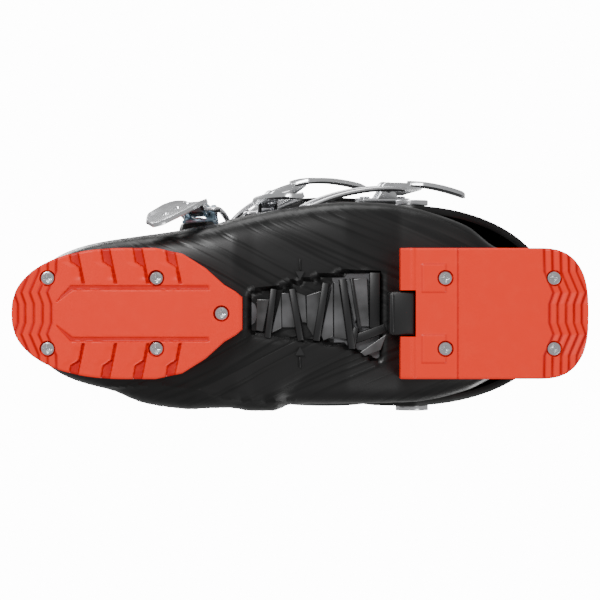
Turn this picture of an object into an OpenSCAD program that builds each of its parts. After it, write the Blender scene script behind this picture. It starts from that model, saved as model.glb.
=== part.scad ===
// Left alpine ski boot: a hinged cuff over a lower shell, with a soft liner inside,
// four overcentre buckles, a power strap and bolted-on toe and heel soles.
// +X points to the toe, +Y to the outer (lateral) side and +Z up. The origin is the
// mid-sole mark on the walking surface. Sizes are millimetres.

/* [Sole] */
// Sole length, from the toe tip to the heel tip
sole_length = 305; // [295:1:315]
// Width of the toe and heel soles
sole_width = 69; // [67:0.5:71]
// Height of the toe sole block
toe_sole_h = 15; // [13:0.5:16]
// Height of the heel sole block
heel_sole_h = 22; // [18:0.5:24]
// Depth of the grooves between the tread blocks
tread_depth = 2.4; // [1.5:0.1:3]

/* [Shell] */
// Wall thickness of the lower shell
shell_wall = 4.5; // [4:0.1:5]
// Wall thickness of the cuff
cuff_wall = 4.2; // [4:0.1:5]
// Wall thickness of the liner
liner_wall = 5; // [4:0.5:6]

/* [Cuff hinge] */
// Distance of the ankle hinge behind the mid-sole mark
pivot_back = 62; // [60:1:64]
// Height of the ankle hinge above the ground
pivot_h = 82; // [80:1:84]
// Forward flex of the cuff that the shapes leave room for
flex = 8; // [4:1:8]

/* [Buckles] */
// Diameter of the bail wire
wire_d = 3; // [2.5:0.1:3.2]
// Distance from the lever's hinge to the bail's hinge
throw = 9; // [8:0.5:10]

/* [Hidden] */

toe_x = sole_length / 2;
heel_x = -sole_length / 2;
half_w = sole_width / 2;
pivot = [-pivot_back, 0, pivot_h];
big = 600;
gap = 0.6;                 // running gap between layers
shell_red = "orangered";
shell_black = [0.09, 0.09, 0.09];
metal = [0.82, 0.83, 0.85];

// ---- profiles of the foot, each [place along X, value] ----
foot_back = -135.5;
foot_front = 143;
foot_mid = (foot_back + foot_front) / 2;
foot_half = (foot_front - foot_back) / 2;
wide_h = 42;               // height of the widest line of the foot
outer_side = [[-136, 38], [-105, 42], [-80, 46], [-55, 50], [-20, 49], [10, 48.5], [30, 48.6], [40, 48.4],
    [53, 47], [65, 45.2], [78, 44], [94, 43.6], [110, 43.8], [143, 44.5]];
inner_side = [[-136, 36], [-105, 40], [-80, 42.5], [-55, 44], [-20, 43], [-6, 44.5], [5, 49], [15, 53],
    [26, 53], [38, 51.5], [50, 52], [60, 52.8], [70, 52.4], [84, 51.2], [92, 49.2], [100, 46.8], [110, 45.6], [143, 46]];
top_line = [[-60, 330], [-40, 240], [-20, 190], [-8, 165], [5, 146], [15, 133], [28, 118],
    [40, 107], [55, 97], [75, 88], [100, 80], [120, 73], [135, 64], [143, 56]];
floor_line = [[-136, heel_sole_h], [-58, heel_sole_h], [-45, 19], [25, 16], [35, toe_sole_h], [143, toe_sole_h]];

// ---- profiles of the leg, each [height, value] ----
leg_back = [[50, -136.5], [82, -141], [110, -138.5], [140, -130], [180, -118], [240, -103], [292, -93], [330, -88]];
leg_front = [[50, 26], [140, 26], [180, 36], [240, 52], [292, 65], [330, 72]];
leg_outer = [[50, 58.5], [80, 59], [150, 62], [240, 67], [292, 68], [330, 68]];
leg_inner = [[50, 50.5], [80, 50.5], [150, 52], [240, 54.5], [292, 56.5], [330, 57]];
// the upper liner is narrow low down, where it runs inside the lower shell
sock_outer = [[50, 43.5], [156, 43.5], [190, 53], [330, 57]];
sock_inner = [[50, 38], [156, 38], [190, 42.5], [330, 46]];

// the low flanks, which swell out to lie flush under the cuff
outer_flank = [[-136, 38], [-105, 42], [-90, 51], [-75, 55], [-60, 58], [-43, 59.6], [-27, 59.8], [-13, 59],
    [0, 57.4], [12, 55.7], [27, 52.8], [40, 49.6], [53, 46], [143, 40]];
inner_flank = [[-136, 36], [-105, 40], [-90, 45], [-60, 48.6], [-5, 48.6], [5, 49.5], [15, 52], [30, 51], [50, 46],
    [143, 40]];
flank_h = 40;              // how far the swelling reaches above the widest line

function spow(v, p) = sign(v) * pow(abs(v), p);
function end_round(x, m_back = 3.4, m_front = 3.4, half = foot_half) =
    let (t = (x - foot_mid) / half, m = t < 0 ? m_back : m_front)
    pow(max(0, 1 - pow(abs(t), m)), 1 / m);

// One upright slice of the foot at x, drawn in by d
function foot_slice(x, d, floor_up, sides) =
    let (
        half = foot_half - d,
        e = max(0.02, end_round(x, half = half)),
        wo = max(1, (lookup(x, outer_side) - d) * e),
        wi = max(1, (lookup(x, inner_side) - d) * e),
        low = wide_h - lookup(x, floor_line) - floor_up,
        high = (lookup(x, top_line) - wide_h - d) * pow(e, 0.55)
    )
    [for (j = [0:sides - 1])
        let (a = 360 * j / sides, c = cos(a), s = sin(a), n = s < 0 ? 5 : 2.4)
        [x, (c > 0 ? wo : wi) * spow(c, 2 / n), wide_h + (s > 0 ? high : low) * spow(s, 2 / n)]];

// One upright slice of the swollen flanks at x
function flank_slice(x, sides) =
    let (e = end_round(x), wo = lookup(x, outer_flank) * e, wi = lookup(x, inner_flank) * e,
        low = wide_h - lookup(x, floor_line) - 0.4)
    [for (j = [0:sides - 1])
        let (a = 360 * j / sides, c = cos(a), s = sin(a), n = s < 0 ? 5 : 2.4)
        [x, (c > 0 ? wo : wi) * spow(c, 2 / n), wide_h + (s > 0 ? flank_h : low) * spow(s, 2 / n)]];

// One level slice of the leg at height z, drawn in by d
function leg_slice(z, d, sides, inset = 0, outer = leg_outer, inner = leg_inner) =
    let (
        b = lookup(z, leg_back) + d + inset,
        f = lookup(z, leg_front) - d - inset,
        mid = (b + f) / 2,
        half = (f - b) / 2,
        wo = lookup(z, outer) - d,
        wi = lookup(z, inner) - d
    )
    [for (j = [0:sides - 1])
        let (a = 360 * j / sides, c = cos(a), s = sin(a), n = c < 0 ? 2.2 : 2.6)
        [mid + half * spow(c, 2 / n), (s > 0 ? wo : wi) * spow(s, 2 / n), z]];

// Skins a list of rings that all have the same number of points
module skin(rings) {
    m = len(rings[0]);
    last = len(rings) - 1;
    polyhedron(
        points = [for (r = rings) each r],
        faces = [
            [for (j = [0:m - 1]) j],
            each [for (i = [0:last - 1], j = [0:m - 1])
                let (a = i * m + j, b = i * m + (j + 1) % m) [a, a + m, b + m, b]],
            [for (j = [m - 1:-1:0]) last * m + j]
        ],
        convexity = 6
    );
}

module foot_solid(d = 0, floor_up = 0, steps = 26, sides = 28) {
    half = foot_half - d;
    skin([for (i = [0:steps])
        foot_slice(foot_mid - half * cos(180 * i / steps) * 0.999, d, floor_up, sides)]);
}

module leg_solid(d = 0, low = 50, high = 330, steps = 9, sides = 36) {
    skin([for (i = [0:steps]) leg_slice(low + (high - low) * i / steps, d, sides)]);
}

// The upper liner's outside, drawn in by d
sock_inset = 9;
module sock_solid(d = 0, low = 60, high = 330) {
    skin([for (z = concat([low], [for (k = [156:17:190]) k], [225, 260, 295, high]))
        leg_slice(z, d, 36, sock_inset, sock_outer, sock_inner)]);
}

// Keeps a boolean of free-form skins as one mesh
module one_mesh() {
    resize([0, 0, 0]) children();
}

// Extrudes a side view, drawn in X and Z, across the whole width
module side_view(points) {
    rotate([90, 0, 0])
        linear_extrude(height = big, center = true)
            polygon(points);
}

module across(r) {
    translate(pivot)
        rotate([90, 0, 0])
            cylinder(h = big, r = r, center = true, $fn = 64);
}

// ---- soles ----
function toe_outline(grow = 0) = concat(
    [for (a = [-90:6:90])
        let (c = cos(a), s = sin(a))
        [toe_x - 62 + (62 + grow) * pow(c, 2 / 2.3), (half_w + grow) * spow(s, 2 / 2.3)]],
    [[76, half_w + grow], [62, 31.5 + grow], [50, 24 + grow], [40, 15 + grow], [34, 11.5 + grow],
     [30.5 - grow, 8.5 + grow], [30.5 - grow, -8.5 - grow], [34, -11.5 - grow], [40, -15 - grow],
     [50, -24 - grow], [62, -31.5 - grow], [76, -half_w - grow]]);

heel_front_x = -53;
function heel_outline(grow = 0) = concat(
    [[heel_front_x + grow, half_w + grow]],
    [for (a = [90:6:270])
        let (c = cos(a), s = sin(a))
        [heel_x + 27 + (27 + grow) * spow(c, 2 / 2.7), (half_w + grow) * spow(s, 2 / 2.7)]],
    [[heel_front_x + grow, -half_w - grow]]);

toe_screw_spots = [[133, 18.6], [133, -18.6], [75.7, 18.6], [75.7, -18.6], [41.4, 0]];
heel_screw_spots = [[-76.6, 18.6], [-76.6, -18.6], [-133.9, 18.6], [-133.9, -18.6]];
screw_r = 2.1;
screw_head_r = 3.4;
counterbore_r = 4.3;
counterbore_h = 5;

// The area beyond one wavy tread line whose middle is at x; dir is 1 at the toe, -1 at the heel
module beyond_wave(x, dir) {
    polygon([for (p = [[0, 0], [0, 5], [2.1, 11], [-2.6, 22], [-3, 40], [60, 40], [60, -40], [-3, -40],
            [-2.6, -22], [2.1, -11], [0, -5]])
        [x + dir * p[0], p[1]]]);
}

// One slanting groove between tread blocks, on the +Y side, whose inner end is at x
module tread_groove(x) {
    polygon([[x - 2, 15.5], [x, 15.5], [x + 1.6, 24.4], [x + 6, 27.3], [x + 7.5, 36], [x + 2.2, 36]]);
}

module screw_holes(spots) {
    for (p = spots) translate([p[0], p[1], 0]) {
        translate([0, 0, -1]) cylinder(h = counterbore_h + 1, r = counterbore_r, $fn = 32);
        cylinder(h = 40, r = screw_r + 0.1, $fn = 24);
    }
}

toe_waves = [148.5, 144.7, 140.1, 135.3, 130.7];
heel_waves = [-148.4, -144.2, -140, -135.4, -131];
terrace = 1.15;            // rise of each tread terrace
groove_spots = [115, 98, 81, 64];
rail_in = 12.1;
rail_out = 15.1;

module toe_sole() {
    color(shell_red)
    difference() {
        linear_extrude(height = toe_sole_h) polygon(toe_outline());
        for (i = [0:4]) translate([0, 0, -1])
            linear_extrude(height = 1 + terrace * (5 - i)) beyond_wave(toe_waves[i], 1);
        for (x = groove_spots, side = [0, 1]) mirror([0, side, 0]) translate([0, 0, -1])
            linear_extrude(height = 1 + tread_depth) tread_groove(x);
        for (side = [0, 1]) mirror([0, side, 0]) translate([0, 0, -1])
            linear_extrude(height = 1.8)
                polygon([[47.7, rail_in], [119.6, rail_in], [126.7, 6.8], [128.4, 6.8], [120.8, rail_out], [47.7, rail_out]]);
        side_view([[34, -1], [20, -1], [20, 6]]);
        screw_holes(toe_screw_spots);
    }
}

lock_notch = [[-61, 12.2], [-40, 12.2], [-40, -12.2], [-61, -12.2]];

module heel_sole() {
    color(shell_red)
    difference() {
        linear_extrude(height = heel_sole_h) polygon(heel_outline());
        for (i = [0:4]) translate([0, 0, -1])
            linear_extrude(height = 1 + terrace * (5 - i)) beyond_wave(heel_waves[i], -1);
        translate([-83, -half_w - 1, -1]) cube([22.6, sole_width + 2, 1.7]);
        side_view([[-60.5, -1], [-40, -1], [-40, 9]]);
        translate([0, 0, -1]) linear_extrude(height = heel_sole_h + 2) polygon(lock_notch);
        screw_holes(heel_screw_spots);
    }
}

// Pan-head screws that hold a sole block up against the shell
module sole_screws(spots, grip) {
    color(metal)
    for (p = spots) translate([p[0], p[1], counterbore_h]) {
        cylinder(h = grip, r = screw_r, $fn = 24);
        difference() {
            translate([0, 0, -2.6]) cylinder(h = 2.6, r = screw_head_r, $fn = 32);
            for (a = [0, 90]) rotate([0, 0, a]) translate([-2.2, -0.5, -3]) cube([4.4, 1, 1.8]);
        }
    }
}

module toe_sole_screws() { sole_screws(toe_screw_spots, toe_sole_h - counterbore_h + 3); }
module heel_sole_screws() { sole_screws(heel_screw_spots, heel_sole_h - counterbore_h + 3); }

// ---- lower shell ----
arch_ribs = [[16, 21], [3, -3], [-9, -14], [-22, -27]];     // each rib's X at the outer and inner edge

// Everything above the rim of the lower shell
module above_shell_rim(up = 0) {
    side_view([[-150, 116 + up], [-95, 120 + up], [-62, 134 + up], [-20, 148 + up], [4, 148 + up], [60, 150 + up], [60, 400], [-150, 400]]);
}

// The clear space behind the hinge, inside the cuff's back: reach from the hinge, then Y
heel_reach = [[76, -35], [57.6, -30], [63.2, -25], [67.2, -20], [70, -15], [72, -9], [73.2, 0], [72.4, 9],
    [71, 15], [69.1, 20], [66.3, 25], [62.5, 30], [76, 36]];

module flanks() {
    intersection() {
        skin([for (x = [-108, -98, -90, -75, -60, -43, -27, -13, 0, 12, 27, 40, 52]) flank_slice(x, 28)]);
        side_view([[-120, 0], [-118, 61], [-84, 54.5], [-62, 52.5], [-43, 53], [-20.5, 79.5], [-2, 109], [60, 109], [60, 0]]);
    }
}

// Everything behind the hinge that the cuff's back would sweep through
module heel_round() {
    difference() {
        side_view([[-160, 67], [-pivot_back, 67], [-pivot_back, 300], [-160, 300]]);
        translate(pivot) rotate([-90, 0, 0]) rotate_extrude($fn = 96)
            polygon(concat([[0, -80], [76, -80]], heel_reach, [[76, 80], [0, 80]]));
    }
}

module lower_shell() {
    color(shell_black)
    one_mesh()
    difference() {
        union() {
            difference() {
                foot_solid();
                above_shell_rim();
                heel_round();
            }
            flanks();
            buckle_bosses(toe_buckle);
            buckle_bosses(instep_buckle);
            // ledges that the binding holds, and seats for the sole blocks
            translate([0, 0, toe_sole_h]) linear_extrude(height = 4) polygon(toe_outline());
            translate([0, 0, heel_sole_h]) linear_extrude(height = 8) polygon(heel_outline());
        }
        foot_solid(d = shell_wall, floor_up = 4);
        // truss of pockets under the arch
        difference() {
            translate([0, 0, 10]) linear_extrude(height = 8)
                polygon([[26, 11], [-26, 20], [-38, 24], [-38, -24], [-26, -20], [26, -11]]);
            for (r = arch_ribs) translate([0, 0, 9]) linear_extrude(height = 12)
                polygon([[r[0] + 1.5, 30], [r[0] - 1.5, 30], [r[1] - 1.5, -30], [r[1] + 1.5, -30]]);
        }
        translate([0, 0, heel_sole_h - 3]) linear_extrude(height = 3) polygon(heel_outline(0.2));
        for (p = concat(toe_screw_spots, heel_screw_spots)) translate([p[0], p[1], 0])
            cylinder(h = heel_sole_h + 3.5, r = screw_r + 0.15, $fn = 16);
        across(bush_r + 0.2);
        ladder_seat(toe_buckle);
        buckle_holes(toe_buckle);
        buckle_holes(instep_buckle);
    }
}

module arch_lock_block() {
    color(shell_black)
    difference() {
        translate([-60.6, -11.6, 4]) cube([14, 23.2, 15]);
        side_view([[-50, 3], [-46, 3], [-46, 18]]);
    }
}

board_low = 26.6;
module boot_board() {
    color("dimgray")
    one_mesh()
    intersection() {
        foot_solid(d = shell_wall + gap, floor_up = 4 + gap);
        side_view([[-140, 10], [140, 10], [140, board_low], [90, board_low + 1], [-60, board_low + 9], [-140, board_low + 10]]);
    }
}

// The liner splits on a cylinder and a radial cut about the hinge, so that its two halves pass each other
liner_split_r = 72;
module liner_lower_zone(shrink) {
    union() {
        across(liner_split_r - shrink);
        side_view([[-200, 0], [200, 0], [200, 60], [-pivot_back + 150 * cos(20), pivot_h + 150 * sin(20)],
            [-pivot_back, pivot_h], [-200, pivot_h]]);
    }
}

module liner_foot() {
    color("darkslategray")
    one_mesh()
    difference() {
        intersection() {
            foot_solid(d = shell_wall + gap, floor_up = 5);
            side_view([[-140, board_low + 10.5], [-60, board_low + 9.5], [90, board_low + 1.5], [140, board_low + 0.5],
                [140, 120], [60, 150], [-26, 146], [-40, 136], [-60, 124], [-140, 110]]);
            union() {
                liner_lower_zone(0.5);
                side_view([[-26, 100], [-26, 145], [60, 145], [60, 100]]);
            }
        }
        intersection() {
            foot_solid(d = shell_wall + gap + liner_wall, floor_up = 5);
            side_view([[-140, board_low + 16], [-60, board_low + 15], [90, board_low + 7], [140, board_low + 6],
                [140, 330], [-140, 330]]);
        }
    }
}

// Soft seal under the flap that closes over the instep
module instep_gasket() {
    color("gray")
    one_mesh()
    intersection() {
        difference() {
            foot_solid(d = -2.2);
            foot_solid(d = -0.3);
        }
        translate([0, -6, 0]) linear_extrude(height = 200) polygon([[22, -10], [112, -7], [112, 9], [22, 12]]);
        translate([0, 0, 70]) linear_extrude(height = 52) square(400, center = true);
    }
}

// ---- cuff ----
// Side view of the cuff, drawn in X and Z: low at the hinge, high at the front and back
cuff_side = [[-150, 74], [-118, 68], [-84, 57], [-62, 54], [-40, 58], [-23, 88], [-8, 120], [3, 147],
    [40, 152], [90, 262], [40, 262], [-60, 280], [-90, 294], [-150, 294]];

module cuff() {
    color(shell_black)
    one_mesh()
    difference() {
        union() {
            intersection() {
                leg_solid();
                side_view(cuff_side);
            }
            buckle_bosses(lower_cuff_buckle);
            buckle_bosses(upper_cuff_buckle);
            spine_frame() translate([-28, -14, -5]) cube([56, 28, 5]);
        }
        leg_solid(d = cuff_wall, low = 49, high = 331);
        ladder_seat(lower_cuff_buckle);
        shin_gap();
        across(bolt_r + 0.1);
        spine_frame() for (x = [-16, 16]) translate([x, 0, -4]) cylinder(h = 8, r = 2.3, $fn = 16);
        buckle_holes(lower_cuff_buckle);
        buckle_holes(upper_cuff_buckle);
    }
}

// The cuff opens down the shin; its flaps meet under the buckles
module shin_gap() {
    translate([-10, -9.5, 100]) cube([120, 5, 200]);
}

bush_r = 8;
bolt_r = 5.5;
shank_r = 2.5;
// Where the ankle's parts stand along Y on each side: the shell's inner face, its outer face,
// the cuff's inner face and the cuff's outer face
outer_ankle = [44.5, 49.2, 54.6, 59.2];
inner_ankle = [-39.3, -43.9, -46, -50.8];

// Puts the parts of one ankle in place, with +Z pointing away from the foot
module ankle(spots) {
    translate(pivot) rotate([spots[0] > 0 ? -90 : 90, 0, 0]) children();
}

// Turned bush that the cuff hinges on, pressed through the side of the lower shell
module bush(spots) {
    y = [for (v = spots) abs(v)];
    color("dimgray") ankle(spots) difference() {
        union() {
            translate([0, 0, y[0]]) cylinder(h = y[2] - y[0] - 0.45, r = bush_r, $fn = 64);
            translate([0, 0, y[1] + 0.1]) cylinder(h = 1.2, r = bush_r + 2.5, $fn = 64);
        }
        translate([0, 0, y[0] - 1]) cylinder(h = 30, r = shank_r + 0.05, $fn = 48);
    }
}
module pivot_bush_outer() { bush(outer_ankle); }
module pivot_bush_inner() { bush(inner_ankle); }

// Shoulder bolt that carries the cuff and turns in the bush
module pivot_bolt(spots) {
    y = [for (v = spots) abs(v)];
    color(metal) ankle(spots) difference() {
        union() {
            translate([0, 0, y[0] + 0.5]) cylinder(h = y[3] - y[0], r = shank_r, $fn = 48);
            translate([0, 0, y[2]]) cylinder(h = y[3] - y[2] + 1, r = bolt_r, $fn = 64);
            translate([0, 0, y[3] + 0.2]) cylinder(h = 3, r = 9, $fn = 64);
        }
        translate([0, 0, y[3] + 1.4]) cylinder(h = 5, r = 3, $fn = 6);
    }
}
module pivot_bolt_outer() { pivot_bolt(outer_ankle); }
module pivot_bolt_inner() { pivot_bolt(inner_ankle); }

module spine_frame() {
    translate([-121.2, 0, 174]) rotate([0, -90 + 16.5, 0]) children();
}
module spine_plate() {
    color(shell_black)
    spine_frame() difference() {
        translate([-26, -13, 0.05]) cube([52, 26, 3]);
        for (x = [-16, 16]) translate([x, 0, -1]) cylinder(h = 8, r = 2.3, $fn = 24);
    }
}
module spine_screws() {
    color(metal)
    spine_frame() for (x = [-16, 16]) translate([x, 0, 0.4]) {
        cylinder(h = 3, r = 2.1, $fn = 24);
        difference() {
            translate([0, 0, 3]) cylinder(h = 2, r = 4.5, $fn = 32);
            translate([0, 0, 4]) cylinder(h = 2, r = 2, $fn = 6);
        }
    }
}

module rear_spoiler() {
    color(shell_black)
    one_mesh()
    intersection() {
        difference() {
            leg_solid(d = cuff_wall + gap);
            leg_solid(d = cuff_wall + gap + 2.5, low = 49, high = 331);
        }
        side_view([[-150, 225], [-62, 225], [-66, 288], [-86, 308], [-150, 308]]);
    }
}

liner_top = 310;
module liner_cuff() {
    color("darkslategray")
    one_mesh()
    difference() {
        intersection() {
            sock_solid();
            side_view([[-150, 60], [60, 60], [100, 288], [30, 288], [-20, 296], [-70, liner_top], [-150, liner_top]]);
        }
        sock_solid(d = liner_wall, low = 59, high = 331);
        liner_upper_stop();
        side_view([[-37, 60], [200, 60], [200, 155], [-37, 155]]);
        // room for the tongue
        translate([-4, -31, 0]) cube([120, 62, 400]);
    }
}

// Keeps the upper liner above and outside the lower one, through the whole flex
module liner_upper_stop() {
    across(liner_split_r + 0.6);
    side_view([[-200, 0], [200, 0], [200, 100], [-pivot_back + 250 * cos(22 + flex), pivot_h + 250 * sin(22 + flex)],
        [-pivot_back, pivot_h + 1], [-200, pivot_h + 1]]);
}

module liner_tongue() {
    color("darkslategray")
    one_mesh()
    intersection() {
        difference() {
            sock_solid();
            sock_solid(d = 7, low = 59, high = 331);
        }
        translate([-3.4, -30.4, 0]) cube([120, 60.8, 400]);
        side_view([[0, 153], [60, 153], [110, 318], [20, 318]]);
    }
}

// Webbing loop stitched to the top of the liner's back
module liner_pull_loop() {
    color("black")
    translate([-79, 0, liner_top + 0.4]) rotate([90, 0, -90])
        rotate_extrude(angle = 180, $fn = 64) translate([12.6, -7]) square([1.6, 14]);
}

strap_low = 252;
strap_high = 292;
module power_strap() {
    color("black")
    one_mesh()
    intersection() {
        difference() {
            leg_solid(d = -2.7);
            leg_solid(d = -0.5, low = 49, high = 331);
        }
        side_view([[-150, strap_low + 4], [0, strap_low], [100, strap_low - 4], [100, strap_high - 8], [0, strap_high - 4], [-150, strap_high]]);
    }
}
module power_strap_rivets() {
    color(metal)
    for (z = [262, 280]) translate([lookup(z, leg_back) - 3.1, 0, z]) rotate([0, -90 + 10.9, 0])
        cylinder(h = 1.6, r = 4, $fn = 32);
}

// ---- buckles ----
// Each buckle works in one plane. Its frame has the lever's hinge at the origin, +X towards the
// ladder, +Y along the hinge and +Z out of the shell.
// A buckle is [hinge, yaw, roll, lean, bend radius, angle to the ladder's notch, then the lever's
// sweep, drop at its tip and length]:
// lean turns the closing direction from straight up towards the toe, and the bail and the ladder are
// bent about an axis that lies the bend radius under the hinge.
toe_buckle = [[54, 54.5, 59.4], 2, 9, -10, 75, 30, 46, 20, 44];
instep_buckle = [[20, 53, 88], 5, 15, 8, 70, 30, -40, 9, 40];
lower_cuff_buckle = [[-50, 71.8, 164], 0, -3, 100, 110, 26, -8, 11, 33];
upper_cuff_buckle = [[16, 69.5, 228], 20, -8, 104, 60, 40, 10, 20, 42];

module place(b) {
    translate(b[0]) rotate([0, 0, -b[1]]) rotate([b[2], 0, 0])
        rotate([-90, 0, 0]) rotate([0, 0, -90]) rotate([0, 0, b[3]]) children();
}

base_l = 30;
base_w = 17;
ear_w = 2.6;
hinge_h = 7.5;             // height of the hinge over the base's foot
pin_r = 2;

// Riveted bracket with two ears that carry the lever's pin
module buckle_base() {
    color(metal)
    difference() {
        union() {
            translate([-13, -base_w / 2, -hinge_h]) cube([base_l, base_w, 2.2]);
            for (s = [-1, 1]) translate([0, s * (base_w / 2 - ear_w / 2), 0]) rotate([90, 0, 0])
                linear_extrude(height = ear_w, center = true) hull() {
                    circle(r = 4.2, $fn = 32);
                    translate([-6, -hinge_h + 0.5]) square([13, 0.5]);
                }
        }
        rotate([90, 0, 0]) cylinder(h = 40, r = pin_r + 0.05, center = true, $fn = 32);
        for (x = [-8.6, 12.6]) translate([x, 0, -20]) cylinder(h = 40, r = 1.9, $fn = 24);
    }
}

module base_rivets() {
    color(metal)
    for (x = [-8.6, 12.6]) translate([x, 0, -hinge_h - 1]) {
        cylinder(h = 3.6, r = 1.8, $fn = 24);
        translate([0, 0, 3.3]) cylinder(h = 0.9, r = 3, $fn = 32);
    }
}

// Pitch line of the lever's blade: it leaves the hinge along -X and curves round by sweep degrees
blade_from = 14;
function blade_line(t, b) =
    let (a = b[6] * t, k = b[8] * 180 / PI / b[6])
    [-blade_from - k * sin(a), k * (1 - cos(a))];
function blade_edge(t, b, side) =
    let (p = blade_line(t, b), a = b[6] * t, w = lookup(t, [[0, 5.6], [0.2, 9], [0.55, 9.5], [0.9, 7], [1, 4]]))
    [p[0] + side * w * sin(a), p[1] + side * w * cos(a)];
// how far the blade has bent down towards the boot at x
function blade_drop(x, b) = b[7] * pow(max(0, (-blade_from - x) / 44), 1.7);

// Cast lever: two cheeks round the hinge that run into one long curved and perforated blade
cheek_y = 4.4;
module lever(b) {
    xs = concat([-8], [for (x = [-14:-5:-66]) x]);
    color(metal)
    difference() {
        union() {
            for (s = [-1, 1]) translate([0, s * cheek_y, 0]) rotate([90, 0, 0])
                linear_extrude(height = 2, center = true) {
                    hull() {
                        circle(r = 3.8, $fn = 32);
                        translate([-throw, 0]) circle(r = 3.8, $fn = 32);
                        translate([-20, 1]) circle(r = 2, $fn = 24);
                    }
                }
            intersection() {
                translate([0, 0, -40]) linear_extrude(height = 50)
                    polygon(concat([for (i = [0:10]) blade_edge(i / 10, b, 1)],
                        [for (i = [10:-1:0]) blade_edge(i / 10, b, -1)]));
                rotate([90, 0, 0]) linear_extrude(height = 120, center = true)
                    polygon(concat([for (x = xs) [x, 3.8 - blade_drop(x, b)]],
                        [for (i = [len(xs) - 1:-1:0]) [xs[i], 1.2 - blade_drop(xs[i], b)]]));
            }
        }
        rotate([90, 0, 0]) cylinder(h = 40, r = pin_r + 0.03, center = true, $fn = 32);
        translate([-throw, 0, 0]) rotate([90, 0, 0]) cylinder(h = 40, r = wire_d / 2 + 0.05, center = true, $fn = 32);
        for (t = [0.35, 0.56, 0.76]) translate(concat(blade_line(t, b), -40))
            cylinder(h = 50, r = 3.4 - 2 * t, $fn = 24);
    }
}

module lever_pin() {
    color(metal) rotate([90, 0, 0]) cylinder(h = base_w + 1, r = pin_r, center = true, $fn = 32);
}

wire_y = 11;
// Runs its child round the bend of buckle b, from one angle to another; the child is drawn with
// its X as the distance above the bend's axis and its Y along the hinge
module bend(b, from, to) {
    translate([0, 0, -b[4]]) rotate([90, 0, 0]) rotate([0, 0, 90 - to])
        rotate_extrude(angle = to - from, $fn = 96) children();
}
function wire_bend(b) = sqrt(b[4] * b[4] + throw * throw);

// Wire loop from the lever's cheeks round to the ladder
module bail(b) {
    r = wire_bend(b);
    start = -asin(throw / r);
    color(metal) union() {
        for (s = [-1, 1]) {
            bend(b, start, b[5]) translate([r, s * wire_y]) circle(d = wire_d, $fn = 24);
            translate([-throw, s * wire_y, 0]) sphere(r = wire_d / 2 + 0.5, $fn = 24);
            translate([-throw, s * wire_y, 0]) rotate([s * 90, 0, 0]) cylinder(h = wire_y - 2, r = wire_d / 2, $fn = 32);
            bend_point(b, b[5]) translate([0, s * wire_y, 0]) sphere(r = wire_d / 2 + 0.5, $fn = 24);
        }
        bend_point(b, b[5]) rotate([90, 0, 0]) cylinder(h = 2 * wire_y, r = wire_d / 2, center = true, $fn = 32);
    }
}
// Moves its child to the wire's line at an angle round the bend
module bend_point(b, a) {
    translate([0, 0, -b[4]]) rotate([0, a, 0]) translate([0, 0, wire_bend(b)]) children();
}

// Turned barrel that joins the bail's two ends between the lever's cheeks
module bail_barrel() {
    color(metal) translate([-throw, 0, 0]) rotate([90, 0, 0]) difference() {
        cylinder(h = 6.2, r = 3.3, center = true, $fn = 48);
        cylinder(h = 10, r = wire_d / 2 + 0.02, center = true, $fn = 32);
    }
}

ladder_t = 2;
tooth_h = 3;
tooth_w = 2.5;
notch_w = 4;
ladder_w = 15;
ladder_under = wire_d / 2 + 0.3 + ladder_t;      // from the wire's line down to the ladder's underside
function arc_angle(b, mm) = mm * 180 / PI / b[4];
function ladder_rivets(b) = [arc_angle(b, -9), arc_angle(b, 17)];

// Toothed rack that the bail hooks into
module ladder(b) {
    r = wire_bend(b) - ladder_under;
    color(metal) difference() {
        union() {
            bend(b, b[5] - arc_angle(b, 13), b[5] + arc_angle(b, 21))
                translate([r, -ladder_w / 2]) square([ladder_t, ladder_w]);
            for (k = [0:2]) {
                a = b[5] + arc_angle(b, (k - 0.5) * (tooth_w + notch_w) );
                bend(b, a - arc_angle(b, tooth_w / 2), a + arc_angle(b, tooth_w / 2))
                    translate([r + ladder_t - 0.2, -ladder_w / 2]) square([tooth_h + 0.2, ladder_w]);
            }
        }
        for (a = ladder_rivets(b)) bend_point(b, b[5] + a) translate([0, 0, -12]) cylinder(h = 20, r = 1.9, $fn = 24);
    }
}
module ladder_rivet_set(b) {
    color(metal) for (a = ladder_rivets(b)) bend_point(b, b[5] + a) translate([0, 0, -ladder_under]) {
        translate([0, 0, -1.5]) cylinder(h = 3.8, r = 1.8, $fn = 24);
        translate([0, 0, ladder_t + 0.15]) cylinder(h = 0.9, r = 3, $fn = 32);
    }
}

// Raised flats of the shell that carry a buckle's base and its ladder
module buckle_bosses(b) {
    place(b) {
        translate([-15, -base_w / 2 - 0.5, -hinge_h - 6]) cube([base_l + 4, base_w + 1, 6]);
        bend(b, b[5] - arc_angle(b, 15), b[5] + arc_angle(b, 23)) {
            r = wire_bend(b) - ladder_under;
            translate([r - 14, -ladder_w / 2 - 0.8]) square([13.95, ladder_w + 1.6]);
        }
    }
}
// Room over a ladder's seat where the wall would stand proud of it
module ladder_seat(b) {
    place(b) bend(b, b[5] - arc_angle(b, 15), b[5] + arc_angle(b, 23))
        translate([wire_bend(b) - ladder_under - 0.05, -ladder_w / 2 - 0.8]) square([9, ladder_w + 1.6]);
}
module buckle_holes(b) {
    place(b) {
        for (x = [-8.6, 12.6]) translate([x, 0, -hinge_h - 3]) cylinder(h = 8, r = 2, $fn = 16);
        for (a = ladder_rivets(b)) bend_point(b, b[5] + a) translate([0, 0, -ladder_under - 3])
            cylinder(h = 8, r = 2, $fn = 16);
    }
}

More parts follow.
